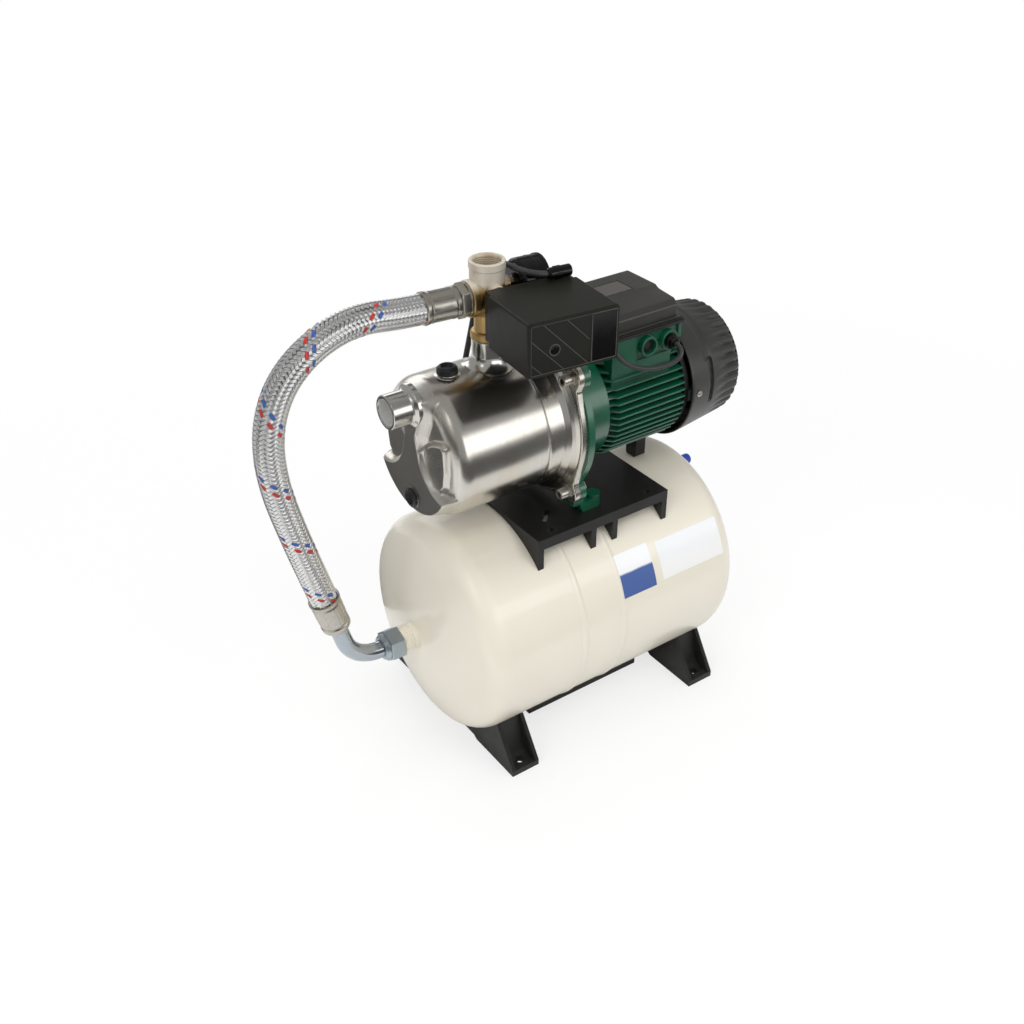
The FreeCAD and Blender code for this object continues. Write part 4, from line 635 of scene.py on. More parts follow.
motorRoute = [(-0.0148, -0.04385, 0.5373), (-0.003, -0.0451, 0.5371), (0.009, -0.049, 0.529),
              (0.018, -0.055, 0.512), (0.026, -0.062, 0.492), (0.038, -0.0685, 0.475), (0.055, -0.073, 0.465),
              (0.072, -0.0765, 0.4605), (0.088, -0.08, 0.4605), (0.101, -0.084, 0.464),
              (0.1095, -0.086, 0.4715), (0.112, -0.08, 0.4805), (0.112, -0.0645, 0.4805)]


def cordCurve(name, points, radius, resolution=8):
    curve = bpy.data.curves.new(name, "CURVE")
    curve.dimensions = "3D"
    spline = curve.splines.new("NURBS")
    spline.points.add(len(points) - 1)
    for spot, point in zip(spline.points, points):
        spot.co = (*point, 1)
    spline.order_u = 3
    spline.use_endpoint_u = True
    spline.resolution_u = resolution
    curve.bevel_depth = radius
    curve.bevel_resolution = 5
    curve.use_fill_caps = True
    return linked(name, curve)


def centreLine(points):
    # points read from the same spline with no bevel
    guide = cordCurve("guide", points, 0, 12)
    mesh = plainMesh(guide)
    line = [v.co.copy() for v in mesh.vertices]
    bpy.data.objects.remove(guide)
    bpy.data.meshes.remove(mesh)
    return line


def lineLength(points):
    return sum((b - a).length for a, b in zip(points, points[1:]))


def layCord(name, points, radius, finish, nodes, resolution=8):
    obj = cordCurve(name, points, radius * mm, resolution)
    obj.data.materials.append(finishes[finish])
    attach(obj, "pump_set")
    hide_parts(*nodes)
    return obj


coil = {"centre": (40, 234.6), "perTurn": 16,
        # turn number, radius, height: two turns side by side, the third on top
        "turns": ((0, 51, 3.6), (0.3, 44.4, 3.6), (0.95, 44.4, 3.6), (1.3, 37.1, 3.6), (1.95, 37.1, 3.7),
                  (2.25, 40.6, 10.4), (3.25, 41.6, 10.6)),
        "tail": ((84, 222, 11.2), (84.4, 210.5, 12.4), (84.4, 198.6, 13.8), (79.9, 187.6, 15.4),
                 (71.4, 179.1, 17), (60.5, 174.6, 18), (54, 174.6, 18))}


def coiledMains():
    # the run to the floor, the turns, then up into the plug's tail
    points = [Vector(p) for p in mainsRoute]
    cx, cy = coil["centre"]
    marks = coil["turns"]
    for k in range(1, round(marks[-1][0] * coil["perTurn"]) + 1):
        turn = k / coil["perTurn"]
        low, high = next((a, b) for a, b in zip(marks, marks[1:]) if turn <= b[0] + 1e-6)
        share = smooth(min(1, (turn - low[0]) / (high[0] - low[0])))
        radius = low[1] + (high[1] - low[1]) * share
        level = low[2] + (high[2] - low[2]) * share
        angle = math.pi / 2 - turn * 2 * math.pi
        points.append(Vector((cx + radius * math.cos(angle), cy + radius * math.sin(angle), level)) * mm)
    return points + [Vector(p) * mm for p in coil["tail"]]


mainsPoints = coiledMains()
mains = layCord("mains_lead_round", mainsPoints, 3.5, "lead", ["mains_lead", "mains_coil"])
mainsLength = lineLength(centreLine(mainsPoints))
motorLead = layCord("motor_lead_round", motorRoute, 3, "lead", ["motor_lead"])
motorLength = lineLength(centreLine(motorRoute))
hoseLine = centreLine(hoseRoute)
print("cord lengths: mains %.3f, motor %.3f, hose %.3f" % (mainsLength, motorLength, lineLength(hoseLine)))


tank = {"radius": 140, "half": 161, "depth": 52, "knuckle": 32, "steps": 200, "seams": (1, -58),
        # across a seam: place along the barrel, rise above it
        "seamLine": ((8.5, 0), (5.5, -0.6), (3.5, 0), (2.3, 0.96), (0, 1.2), (-2.3, 0.96), (-3.5, 0),
                     (-5.5, -0.6), (-8.5, 0)),
        "threads": 9, "threadPitch": 2.3, "airValve": (0, 4, 251.5),
        # bare labels: finish, span along, sector in degrees above the axis
        "labels": {"label_blue": ("labelBlue", (4, 55), (17.5, 40)),
                   "label_pale": ("labelPale", (66.5, 165.5), (18.5, 38.5))}}


def buildTank():
    radius, depth, knuckle = tank["radius"], tank["depth"], tank["knuckle"]
    # torispherical end: crown arc, knuckle arc, then the straight barrel
    flat = radius - knuckle
    crown = (flat * flat + depth * depth - knuckle * knuckle) / (2 * (depth - knuckle))
    meet = math.atan2(flat, crown - depth)
    end = arc(depth - crown, 0, crown, 0, meet, 14) + arc(0, flat, knuckle, meet, math.pi / 2 - meet, 10, 1)
    line = [(tank["half"] + u, r) for u, r in end]
    line += [(seam + u, radius + rise) for seam in tank["seams"] for u, rise in tank["seamLine"]]
    line += [(-tank["half"] - u, r) for u, r in reversed(end)]
    form = bmesh.new()
    spin(form, line, tank["steps"], bodyFrame(0, tankAxis))
    # inlet boss with its weld and thread, and the boss of the air valve
    boss = eased([(-205, 21), (-210.5, 19.6, 2.5), (-212.5, 16.9, 1.6), (-218, 16.8, 0.6)])
    for k in range(tank["threads"]):
        crest = -218.6 - k * tank["threadPitch"]
        boss += [(crest, 16.9), (crest - 1.1, 15.7)]
    boss += eased([(-240.6, 16.6), (-242.6, 16, 0.6), (-242.6, 12.8, 0.4), (-226, 12.8)])
    spin(form, boss, 64, bodyFrame(0, tankAxis))
    valvePlace = axes(tank["airValve"], (1, 0, 0))
    spin(form, eased([(188, 9), (196, 10.6, 2), (199.4, 8.6, 1.4), (205, 8, 0.8), (205, 4.4), (190, 4.4)]),
         40, valvePlace)
    addPiece(form, "tank_enamelled_shell", "cream", ["tank_shell"], 50)
    for name, (finish, span, sector) in tank["labels"].items():
        form = bmesh.new()
        rows, columns, proud = 16, 24, radius + 0.25
        patch = []
        for i in range(rows + 1):
            angle = math.radians(sector[0] + (sector[1] - sector[0]) * i / rows)
            y, z = -proud * math.cos(angle), tankAxis + proud * math.sin(angle)
            spots = [(span[0] + (span[1] - span[0]) * j / columns, y, z) for j in range(columns + 1)]
            patch.append([form.verts.new(Vector(spot) * mm) for spot in spots])
        for one, two in zip(patch, patch[1:]):
            for j in range(columns):
                form.faces.new((one[j], one[j + 1], two[j + 1], two[j]))
        lower = bmesh.ops.extrude_face_region(form, geom=list(form.faces))
        for vertex in [v for v in lower["geom"] if isinstance(v, bmesh.types.BMVert)]:
            away = Vector((0, vertex.co.y, vertex.co.z - tankAxis * mm)).normalized()
            vertex.co -= away * 0.2 * mm
        addPiece(form, name, finish, angle=60, weighted=False)
    cap = eased([(205.4, 5.8), (205.4, 7.4, 0.5), (222.8, 7.0, 2.4), (225, 4.2, 1), (225, 0)])

    def ribbed(angle, along, reach):
        return along, reach - (0.35 * (0.5 + 0.5 * math.cos(angle * 16)) if 207 < along < 221 else 0)
    fine = [one.lerp(two, k / 4) for one, two in zip(cap, cap[1:]) for k in range(4)] + [cap[-1]]
    lathed("air_valve_dust_cap", "blueCap", fine, 96, valvePlace, ["air_valve_cap"], 50, shape=ribbed,
           body="valve_cap")


footScrews = {"x": 3, "y": 66, "seat": 290.5, "flats": 13, "height": 5, "reach": 18}


def buildFeet():
    softened("foot_front_left", "foot_left", 1.1, "footBlack")
    softened("foot_front_right", "foot_right", 1.1, "footBlack")
    softened("belly_rail_pair", "belly_rails", 0.7, "footBlack")
    softened("saddle_plate", "saddle", 1.2, "saddleBlack")
    softened("support_post", "motor_support", 1.0, "saddleBlack")
    form = bmesh.new()
    end = -footScrews["reach"]
    for side in (-1, 1):
        place = axes((footScrews["x"], side * footScrews["y"], footScrews["seat"]), (0, 0, -1))
        prism(form, hexagon(footScrews["flats"], 14 * side), 0, footScrews["height"], place, 0.8)
        spin(form, [(0.5, 3.9), (end, 3.9), (end - 0.5, 3.2), (end - 0.5, 0)], 24, place)
    addPiece(form, "pump_foot_hex_screws", "zinc", ["pump_foot_screws"], 35)


def eases(value, width):
    # 0 to 1 across the width round value 0
    return smooth(clamp(value / width + 0.5))


casing = {"radius": 81.4, "front": 193, "knuckle": 20, "groove": 70, "steps": 240, "boltCircle": 103,
          "rim": 97, "suction": 465, "drain": 349, "filler": -153, "outlet": -99.6,
          # half of the front's middle pad, mirrored across: distance across, height over the axis
          "pad": ((12.5, -8), (12.5, 8), (20, 17), (35, 27), (53, 34), (62, 29), (63.5, 0), (60.5, -20),
                  (51, -33), (37.5, -30), (25.7, -22)),
          "padFace": -198, "bandFace": -204}


def casingFront(along, y, z):
    # the pressed front: a raised band down the middle, and a lower D on each side of it
    side = abs(y)
    if z >= 10:
        band = 17 + clamp((z - 26) / 20) * 9 - side
    elif side < 61:
        band = math.hypot(side - 61, z - 10) - 44
    else:
        band = -34 - z
    band = min(band, 75.5 - math.hypot(y, z))
    pad = 99
    for a, b in zip(casing["pad"], casing["pad"][1:] + casing["pad"][:1]):
        length = math.hypot(b[0] - a[0], b[1] - a[1])
        pad = min(pad, ((side - a[0]) * (b[1] - a[1]) - (z - a[1]) * (b[0] - a[0])) / length)
    level = along + (min(along, casing["padFace"]) - along) * eases(pad - 2, 6)
    return level + (min(level, casing["bandFace"]) - level) * eases(band, 5 + 11 * clamp((z - 4) / 16))


def buildCasing():
    radius, bend, front, groove = (casing[k] for k in ("radius", "knuckle", "front", "groove"))
    flat = radius - bend
    line = [(-front, 0)] + [(-front, flat * k / 61) for k in range(1, 62)]
    line += arc(-front + bend, flat, bend, math.pi, -math.pi / 2, 18, 1)
    line += [(-150, radius), (-120, radius), (-groove - 7, radius)]
    for k in range(13):
        share = k / 12
        dip = 1.9 * math.sin(math.pi * share) ** 2 - 0.35 * math.cos(math.pi * (share - 0.5) * 2)
        line.append((-groove - 5 + 10 * share, radius - dip))
    line += eased([(-groove + 7, radius), (-52, radius, 4), (-46, radius + 4.5, 4), (-43, radius + 8, 3),
                   (-40.2, radius + 12, 1)], 4)

    def pressed(angle, along, reach):
        # the lathe's X is up and its Y is across
        if along > -front + bend - 0.01:
            return along, reach
        return casingFront(along, reach * math.sin(angle), reach * math.cos(angle)), reach
    lathed("casing_pressed_shell", "polished", line, casing["steps"], bodyFrame(), ["pump_casing"], 60, False,
           shape=pressed)
    # flange plate with ears
    ring = []
    for k in range(180):
        angle = 2 * math.pi * k / 180
        reach = casing["rim"]
        for ear in range(4):
            off = angle - math.radians(45 + 90 * ear)
            inside = 15 ** 2 - (casing["boltCircle"] * math.sin(off)) ** 2
            if inside > 0 and math.cos(off) > 0:
                reach = max(reach, casing["boltCircle"] * math.cos(off) + math.sqrt(inside))
            away = math.degrees((off + math.pi) % (2 * math.pi) - math.pi)
            reach = max(reach, casing["rim"] + 9 * math.exp(-(away / 13) ** 2))
        ring.append((reach * math.cos(angle), reach * math.sin(angle)))
    form = bmesh.new()
    prism(form, ring, -39.9, -32.05, bodyFrame(), 2.2, 3, 0.6)
    addPiece(form, "casing_flange_plate", "flange", angle=50)
    form = bmesh.new()
    # suction neck, open, with its rolled weld
    neck = eased([(-198, 25), (-204, 24.6, 2), (-207, 21, 2.5), (-209, 19.5, 1.5), (-231.2, 19.5, 0.8),
                  (-232, 18.6, 0.4), (-232, 16.2, 0.5), (-229.5, 15.2, 0.5), (-189, 15.2), (-189, 0)])
    spin(form, neck, 96, bodyFrame(0, casing["suction"]))
    drain = eased([(-199, 14), (-204.2, 12.2, 0.6), (-204.2, 6.3), (-200, 6.3)])
    spin(form, drain, 64, bodyFrame(0, casing["drain"]))
    top = radius + pumpAxis

    def seated(angle, level, reach):
        # a root that follows the barrel's round
        fall = radius - math.sqrt(radius ** 2 - (reach * math.sin(angle)) ** 2)
        return level - fall * clamp((top + 10 - level) / 10), reach
    root = eased([(top - 3, 15.5), (top + 0.2, 15, 1.5), (top + 1.2, 11.4, 0.8), (491.5, 11.3, 0.2),
                  (491.5, 8.3), (480, 8.3)])
    spin(form, root, 72, axes((casing["filler"], 0, 0), (0, 0, 1)), shape=seated)
    outlet = [(top - 4, 34), (top, 32.5)] + arc(top + 12, 30.3, 12, math.pi, math.pi / 2, 12)
    outlet += eased([(506, 18.3), (516.8, 18.3, 0.8), (518, 17.3, 0.4), (518, 16.7), (500, 16.7)])
    spin(form, outlet, 96, axes((casing["outlet"], 0, 0), (0, 0, 1)), shape=seated)
    addPiece(form, "casing_necks", "neck", angle=50)
    bore = [(-231, 15.25), (-231, 14.9), (-194, 14.9), (-194, 0), (-193, 0), (-193, 15.25)]
    lathed("suction_neck_bore", "frosted", bore, 72, bodyFrame(0, casing["suction"]), angle=50)


# radius, grip flutes and hexagon socket of both black plugs
plug = {"radius": 12, "stem": 8, "flutes": 12, "socketTop": 6.8, "socketFloor": 5.6, "socketDepth": 2.4}


def buildPlug(name, node, body, origin, along, height, skirt=0):
    # a low domed head on a threaded stem; the skirt comes down round the boss
    form = bmesh.new()
    place = axes(origin, along)
    radius, stem = plug["radius"], plug["stem"]

    def gripped(angle, u, reach):
        if 0.5 < u < height * 0.75 and reach > radius - 1.5:
            return u, reach - 0.7 * (0.5 + 0.5 * math.cos(angle * plug["flutes"])) ** 2
        return u, reach
    edge = [(0.05, radius - 0.6), (-skirt, radius - 0.6)] if skirt else [(0.05, radius - 0.5, 0.4)]
    line = eased([(-stem, 0), (-stem, 6.6, 1), (0.05, 6.6), *edge, (0.6 - skirt, radius),
                  (height * 0.35, radius), (height * 0.6, radius), (height, radius - 3.2, 2.4),
                  (height, 7.2, 0.6), (height - 0.5, plug["socketTop"])], 5)
    spin(form, line, 96, place, shape=gripped)
    rings = []
    for reach, level in ((plug["socketTop"], height - 0.5),
                         (plug["socketFloor"], height - plug["socketDepth"])):
        spots = [Vector((u, v, level)) for u, v in arc(0, 0, reach, 0, math.radians(300), 5)]
        rings.append([form.verts.new(place @ spot) for spot in spots])
    bridge(form, rings)
    form.faces.new(rings[1])
    addPiece(form, name, "plugBlack", [node], 35, body=body)


def buildBolts():
    # four socket screws and nuts hold the casing to the bracket
    circle, first = casing["boltCircle"], math.radians(45)
    form = bmesh.new()
    spin(form, eased([(-4, 0), (-4, 3.4, 0.2), (-12.6, 3.4), (-13, 3.8, 0.2), (-13, 6.6, 0.9),
                      (-0.9, 6.6, 0.3), (-0.9, 8.6, 0.3), (0, 8.6, 0.2), (0, 4)], 3), 32, Matrix())
    repeated(form, "casing_socket_screws", "zinc", bodyFrame(-40), 4, circle, first, ["casing_bolts"])
    form = bmesh.new()
    prism(form, hexagon(13, 0, 0.7), 0.1, 6.5, Matrix(), 0.8)
    spin(form, eased([(0, 3.9), (8, 3.9, 0.8), (8, 0)]), 20, Matrix())
    repeated(form, "casing_hex_nuts", "zinc", bodyFrame(-24), 4, circle, first)


motor = {"front": 21, "rear": 133, "core": 60, "radius": 74, "pitch": 8.4, "thick": 2.6, "fins": 15,
         "boxTop": 499, "entries": (81, 112), "entryLevel": 480.5}


def finStack():
    # level plates, each scaled across to the round of the frame
    tree = Tree("finStack", {"Fin": ("Object", None), "Count": ("Int", 15), "Pitch": ("Float", 8.4),
                             "Radius": ("Float", 74.0), "Finish": ("Material", None)})
    wires = tree.wires
    height = (tree.node("GeometryNodeInputIndex") - (wires["Count"] - 1) / 2) * wires["Pitch"]
    reach = (wires["Radius"] * wires["Radius"] - height * height).math("SQRT") / wires["Radius"]
    size = tree.point(1.0, reach, 1.0)
    tree.finish(tree.put(wires["Fin"], wires["Count"], tree.point(z=height), Scale=size))
    return tree


def buildMotor():
    front, rear, core, half, top = (motor[k] for k in ("front", "rear", "core", "radius", "boxTop"))
    softened("bracket_casting", "motor_bracket", 1.0, "green")
    form = bmesh.new()
    spin(form, eased([(front, 54), (front, core, 1), (rear, core, 1), (rear, 54)]), 120, bodyFrame(),
         closed=True)
    # the terminal box base, its lower corner cut away at the rear
    side = [(30.2, 437), (30.2, top, 1.2), (132.8, top, 1.2), (132.8, 476, 3), (124, 466, 3), (118, 452, 3),
            (118, 437)]
    sidePlace = Matrix.Scale(mm, 4) @ facingFront
    prism(form, eased(side), -58, 55.4, sidePlace, 1.4, 3)
    # the face on the side of the entries stands round a shallow pocket
    for u0, u1, v0, v1 in ((30.2, 66, 437, 498.9), (66, 132.8, 495.2, 498.9), (127.6, 132.8, 478, 496),
                           (66, 118, 437, 465)):
        outline = eased([(u0, v0), (u1, v0, 0.3), (u1, v1, 0.3), (u0, v1)], 2, True)
        prism(form, outline, 54, 58, sidePlace, 0.5, 2)
    for x in motor["entries"]:
        ring = eased([(54, 9.2), (63, 9.2, 0.5), (63, 12, 0.8), (54, 12.8)])
        spin(form, ring + [Vector((54, 9.2))], 56, axes((x, 0, motor["entryLevel"]), (0, -1, 0)))
    keelPlace = Matrix.Scale(mm, 4) @ Matrix.Translation((0, 0, pumpAxis)) @ facingSide
    prism(form, eased([(-24, -62), (-24, -72, 1), (24, -72, 1), (24, -62)]), 21.3, 132.7, keelPlace, 0.6)
    addPiece(form, "motor_frame_body", "green", ["motor_frame"])
    blank = eased([(55.2, 0), (55.2, 9.6), (57.4, 9.6), (57.6, 6, 0.8), (58.4, 5.4, 0.4), (58.4, 0)])
    lathed("blank_entry_grommet", "rubber", blank, 40, axes((81, 0, motor["entryLevel"]), (0, -1, 0)))
    form = bmesh.new()
    start, end = front + 0.2, rear - 0.2
    plan = [(start, -half + 13, 0.8), (front + 11, -half, 0.8), (end, -half, 0.8), (end, half, 0.8),
            (front + 11, half, 0.8), (start, half - 13, 0.8)]
    prism(form, eased(plan, 2, True), -motor["thick"] / 2, motor["thick"] / 2, Matrix(), 0.7, 2)
    item = loose(form, "finOne")
    holder = linked("fins", bpy.data.meshes.new("fins"))
    finStack().run(holder, Fin=item, Count=motor["fins"], Pitch=motor["pitch"], Radius=float(half),
                   Finish=finishes["green"])
    bpy.data.objects.remove(item)
    holder.data.transform(Matrix.Translation((0, 0, pumpAxis * mm)) @ Matrix.Scale(mm, 4))
    settle(holder, "motor_fins", "green")


fanCover = {"lip": 139, "rear": 226, "big": 81, "small": 72, "round": 9, "wall": 2.5, "flutes": 36,
            "steps": 288, "rings": (35.6, 47.2, 60.2), "bars": 24, "screws": 150,
            # slot on the side of the fittings: place along, half width, middle height, half length, depth
            "slot": (172.5, 3.2, 9, 29, 2.9)}


def buildFanCover():
    lip, rear, big, small, bend, wall = (fanCover[k] for k in ("lip", "rear", "big", "small", "round",
                                                               "wall"))
    outer = [(lip + 0.6, big - 0.4)]
    for k in range(1, 60):
        along = lip + 1 + (rear - bend - lip - 1) * k / 60
        outer.append((along, big + (small + 0.6 - big) * (along - lip) / (rear - bend - lip)))
    for k in range(13):
        angle = math.pi / 2 * k / 12
        outer.append((rear - bend + bend * math.sin(angle),
                      small - bend + 0.6 * (1 - k / 12) + bend * math.cos(angle)))
    outer.append((rear, 60))
    inner = [(rear - wall, 60), (rear - wall, small - bend), (rear - bend, small - 2), (lip + 1, big - wall),
             (lip, big - wall), (lip, big - 0.8)]

    def fluted(angle, along, reach):
        if reach < 62 or reach <= big - 2 - (along - lip) * 0.13:
            return along, reach
        wave = 0.5 - 0.5 * math.cos(angle * fanCover["flutes"])
        reach -= smooth(clamp((along - 176) / 34)) * 3.4 * wave ** 2
        # slotted recess and stepped panel on the side of the fittings
        y, z = -reach * math.sin(angle), reach * math.cos(angle)
        if y < 0:
            middle, half, height, tall, depth = fanCover["slot"]
            reach -= depth * clamp(half - abs(along - middle)) * clamp((tall - abs(z - height)) / 2)
            if z > 36:
                reach -= 1.1 * clamp((175.5 - along) / 1.5) * clamp((along - 163) / 3)
        return along, reach
    lathed("fan_cover_shell", "fanBlack", outer + inner, fanCover["steps"], bodyFrame(), ["fan_cover"], 50,
           closed=True, shape=fluted)
    # grille: hub disc, rings and radial bars on the rear face
    form = bmesh.new()
    spin(form, eased([(223.6, 0), (223.6, 24.4), (226, 24.4, 0.8), (226.0, 0)]), 72, bodyFrame())
    for reach in fanCover["rings"]:
        ring = eased([(223.6, reach - 1.4), (226, reach - 1.4, 0.5), (226, reach + 1.4, 0.5),
                      (223.6, reach + 1.4)])
        spin(form, ring, 96, bodyFrame(), closed=True)
    addPiece(form, "fan_grille_rings", "fanBlack")
    form = bmesh.new()
    barPlace = Matrix(((0, 0, 1, 0), (0, 1, 0, 0), (-1, 0, 0, 0), (0, 0, 0, 1)))
    bar = eased([(-226, -1.3, 0.5), (-226, 1.3, 0.5), (-223.6, 1.3), (-223.6, -1.3)], 2, True)
    prism(form, bar, -18.5, 18.5, barPlace, 0.2, 1)
    repeated(form, "fan_grille_bars", "fanBlack", bodyFrame(), fanCover["bars"], 42)
    form = bmesh.new()
    screw = eased([(70, 2.2), (79.9, 2.2), (79.9, 4, 0.3), (80.6, 4, 0.5), (82.2, 2.4, 0.8), (82.4, 0)])
    for along in ((0, 0, 1), (0, 0, -1), (0, 1, 0), (0, -1, 0)):
        place = axes((fanCover["screws"], 0, pumpAxis), along, (1, 0, 0))
        spin(form, screw, 32, place)
        prism(form, oblong(-2.6, 2.6, -0.4, 0.4), 82.0, 82.55, place, 0.1, 1)
    addPiece(form, "fan_cover_pan_screws", "zinc", ["fan_cover_screws"], 35)


lid = {"front": 35, "rear": 128, "half": 54, "low": 502, "top": 530, "rim": 3, "plate": (50, 97, -12, 19)}


def buildTerminalBox():
    front, rear, half, low, top, rim = (lid[k] for k in ("front", "rear", "half", "low", "top", "rim"))
    shape = [(-half, low + 1), (-half, top - 12, 4), (-half + 6, top - 5.5, 7), (-20, top - 3.2, 10),
             (-14, top, 3), (36, top, 8), (half - 8, top - 6, 8), (half, top - 14, 4), (half, low + 1)]
    form = bmesh.new()
    prism(form, eased(shape, 8), front, rear, Matrix.Scale(mm, 4) @ facingSide, 2.2, 4)
    edge = eased(oblong(front - rim, rear + rim, -half - 3.4, half + 3.4, 3), 5, True)
    prism(form, edge, low + 0.6, low + 2.4, upright, 0.5, 2)
    # thin raised border round the bare plate
    a, b, c, d = lid["plate"]
    for span in ((a, b, c, c + 1.1), (a, b, d - 1.1, d), (a, a + 1.1, c, d), (b - 1.1, b, c, d)):
        prism(form, eased(oblong(*span, 0.3), 2, True), top - 0.6, top + 0.5, upright, 0.25, 2)
    addPiece(form, "terminal_lid", "lidBlack", ["terminal_box_cover"])
    form = bmesh.new()
    for wide, bottom, level in ((3.0, 497, 501.0), (1.4, 500.6, 502.7)):
        outline = eased(oblong(30 - wide, 133 + wide, -58 - wide, 58 + wide, 4), 5, True)
        prism(form, outline, bottom, level, upright, 0.6, 2)
    addPiece(form, "terminal_gasket_band", "rubber", ["terminal_gasket"])
    form = bmesh.new()
    prism(form, eased(oblong(a + 2, b - 2, c + 2, d - 2, 1), 3, True), top - 0.4, top + 0.25, upright, 0.15,
          1)
    addPiece(form, "terminal_plate_bare", "plateGrey")
    dome = eased([(62, 3.4), (62, 9.5, 0.3), (67, 9.5, 0.8), (68, 8.6, 0.5), (72.5, 6.6, 1.2), (73, 3.4)])
    lathed("motor_gland_dome", "glossBlack", dome, 48, axes((112, 0, motor["entryLevel"]), (0, -1, 0)),
           ["motor_cable_gland"])


fitting = {"hoseLevel": 567, "gaugeLevel": 575, "threads": 9, "threadPitch": 2.2}


def buildFitting():
    form = bmesh.new()
    line = eased([(502, 12), (502, 16.5), (518, 16.5), (518, 18.4, 0.4), (519.4, 19.2, 0.5), (525, 19.2, 0.8),
                  (527, 17.5, 0.8), (528.3, 15, 0.8), (547, 15, 4), (556, 18.6, 5), (577, 18.4, 3),
                  (582, 19.2, 1.5), (598, 19.3, 0.4), (599, 20, 0.3), (606.2, 20, 0.8), (607, 19.2, 0.4),
                  (607, 16.6, 0.5), (605.4, 15.4, 0.3)], 4)
    for k in range(fitting["threads"]):
        level = 603.5 - k * fitting["threadPitch"]
        line += [(level, 15.3), (level - 1.1, 16.5)]
    spin(form, line + [(582, 12), (560, 12)], 96, atTee((0, 0, 0), (0, 0, 1), (1, 0, 0)))
    side = eased([(4, 19.5), (16, 19.6, 2), (17.5, 20.4, 0.6), (24.2, 20.4, 0.8), (25, 19.6, 0.4),
                  (25, 15.2)], 4)
    spin(form, side, 80, atTee((0, 0, fitting["hoseLevel"]), (-1, 0, 0)))
    # the two small necks: gauge, then switch
    for end, along in ((24, (1, 0, 0)), (25, (0, -1, 0))):
        neck = eased([(4, 12.5), (14, 10.6, 3), (end, 10.2, 0.8), (end, 6)], 4)
        spin(form, neck, 56, atTee((0, 0, fitting["gaugeLevel"]), along))
    addPiece(form, "five_way_casting", "brass", ["five_way_fitting"], 45)


dial = {"marks": 28, "first": -135, "sweep": 270, "rim": 21.5, "figures": 8, "figureRing": 14.6,
        "figureSize": 4.2}


def buildGauge():
    place = atTee((0, 0, fitting["gaugeLevel"]), (1, 0, 0))
    case = eased([(30, 4), (30, 10, 1), (33, 10, 0.5), (33, 22, 1), (35.5, 25.2, 3), (50, 25.2),
                  (50.6, 25.6, 0.3), (52.2, 25.6, 0.3), (52.8, 25.2, 0.3), (61, 25.2, 0.3), (61, 26, 0.5),
                  (65, 26, 1.2), (65, 24.4, 0.5), (57, 24.2), (57, 0)], 4)
    lathed("gauge_round_case", "glossBlack", case, 112, place, ["gauge_case"], 45)
    window = eased([(62, 0), (62, 24.2), (64, 24.2, 0.7), (64.2, 0)])
    lathed("gauge_window", "clear", window, 96, place, ["gauge_lens"], 45)
    face = eased([(39, 2.2), (39, 6), (55, 6), (55, 23, 0.3), (56, 23, 0.3), (56, 2.2)])
    lathed("gauge_face", "dialWhite", face, 72, place, ["gauge_dial"], 45, closed=True)
    # scale: long and short marks on the dial, and plain figures
    form = bmesh.new()
    for k in range(dial["marks"] + 1):
        turn = Matrix.Rotation(math.radians(dial["first"] + dial["sweep"] * k / dial["marks"]), 4, "Z")
        length, wide = (4, 0.5) if k % 4 == 0 else (2.2, 0.28)
        prism(form, oblong(dial["rim"] - length, dial["rim"], -wide, wide), 55.9, 56.12, place @ turn, 0.02,
              1)
    addPiece(form, "gauge_scale_marks", "plugBlack", slot="white_paint")
    for k in range(dial["figures"]):
        angle = math.radians(dial["first"] + dial["sweep"] * k / (dial["figures"] - 1))
        figure = bpy.data.curves.new("figure", "FONT")
        figure.body = str(k)
        figure.size = dial["figureSize"]
        figure.extrude = 0.06
        figure.align_x = "CENTER"
        figure.align_y = "CENTER"
        words = linked("figure", figure)
        mesh = plainMesh(words)
        bpy.data.objects.remove(words)
        spot = Vector((dial["figureRing"] * math.cos(angle), dial["figureRing"] * math.sin(angle), 56.05))
        mesh.transform(place @ Matrix.Translation(spot) @ Matrix.Rotation(-math.pi / 2, 4, "Z"))
        settle(linked("figure", mesh), f"gauge_figure_{k}", "plugBlack", weighted=False, slot="white_paint")
    softened("gauge_needle", "gauge_pointer", 0.1, "plugBlack", 1, body="pointer")
    form = bmesh.new()
    prism(form, hexagon(14), 24.2, 30, place, 0.6)
    spin(form, [(14, 0), (14, 5.7), (24.5, 5.7)], 32, place)
    addPiece(form, "gauge_hex_stem", "brass", ["gauge_stem"])


def clipped(outline, nx, ny, limit):
    # the part of an outline where nx * u + ny * v is at most limit
    kept = []
    for a, b in zip(outline[-1:] + outline[:-1], outline):
        da, db = nx * a[0] + ny * a[1] - limit, nx * b[0] + ny * b[1] - limit
        if (da < 0) != (db < 0):
            t = da / (da - db)
            kept.append((a[0] + (b[0] - a[0]) * t, a[1] + (b[1] - a[1]) * t))
        if db <= 0:
            kept.append(b)
    return kept


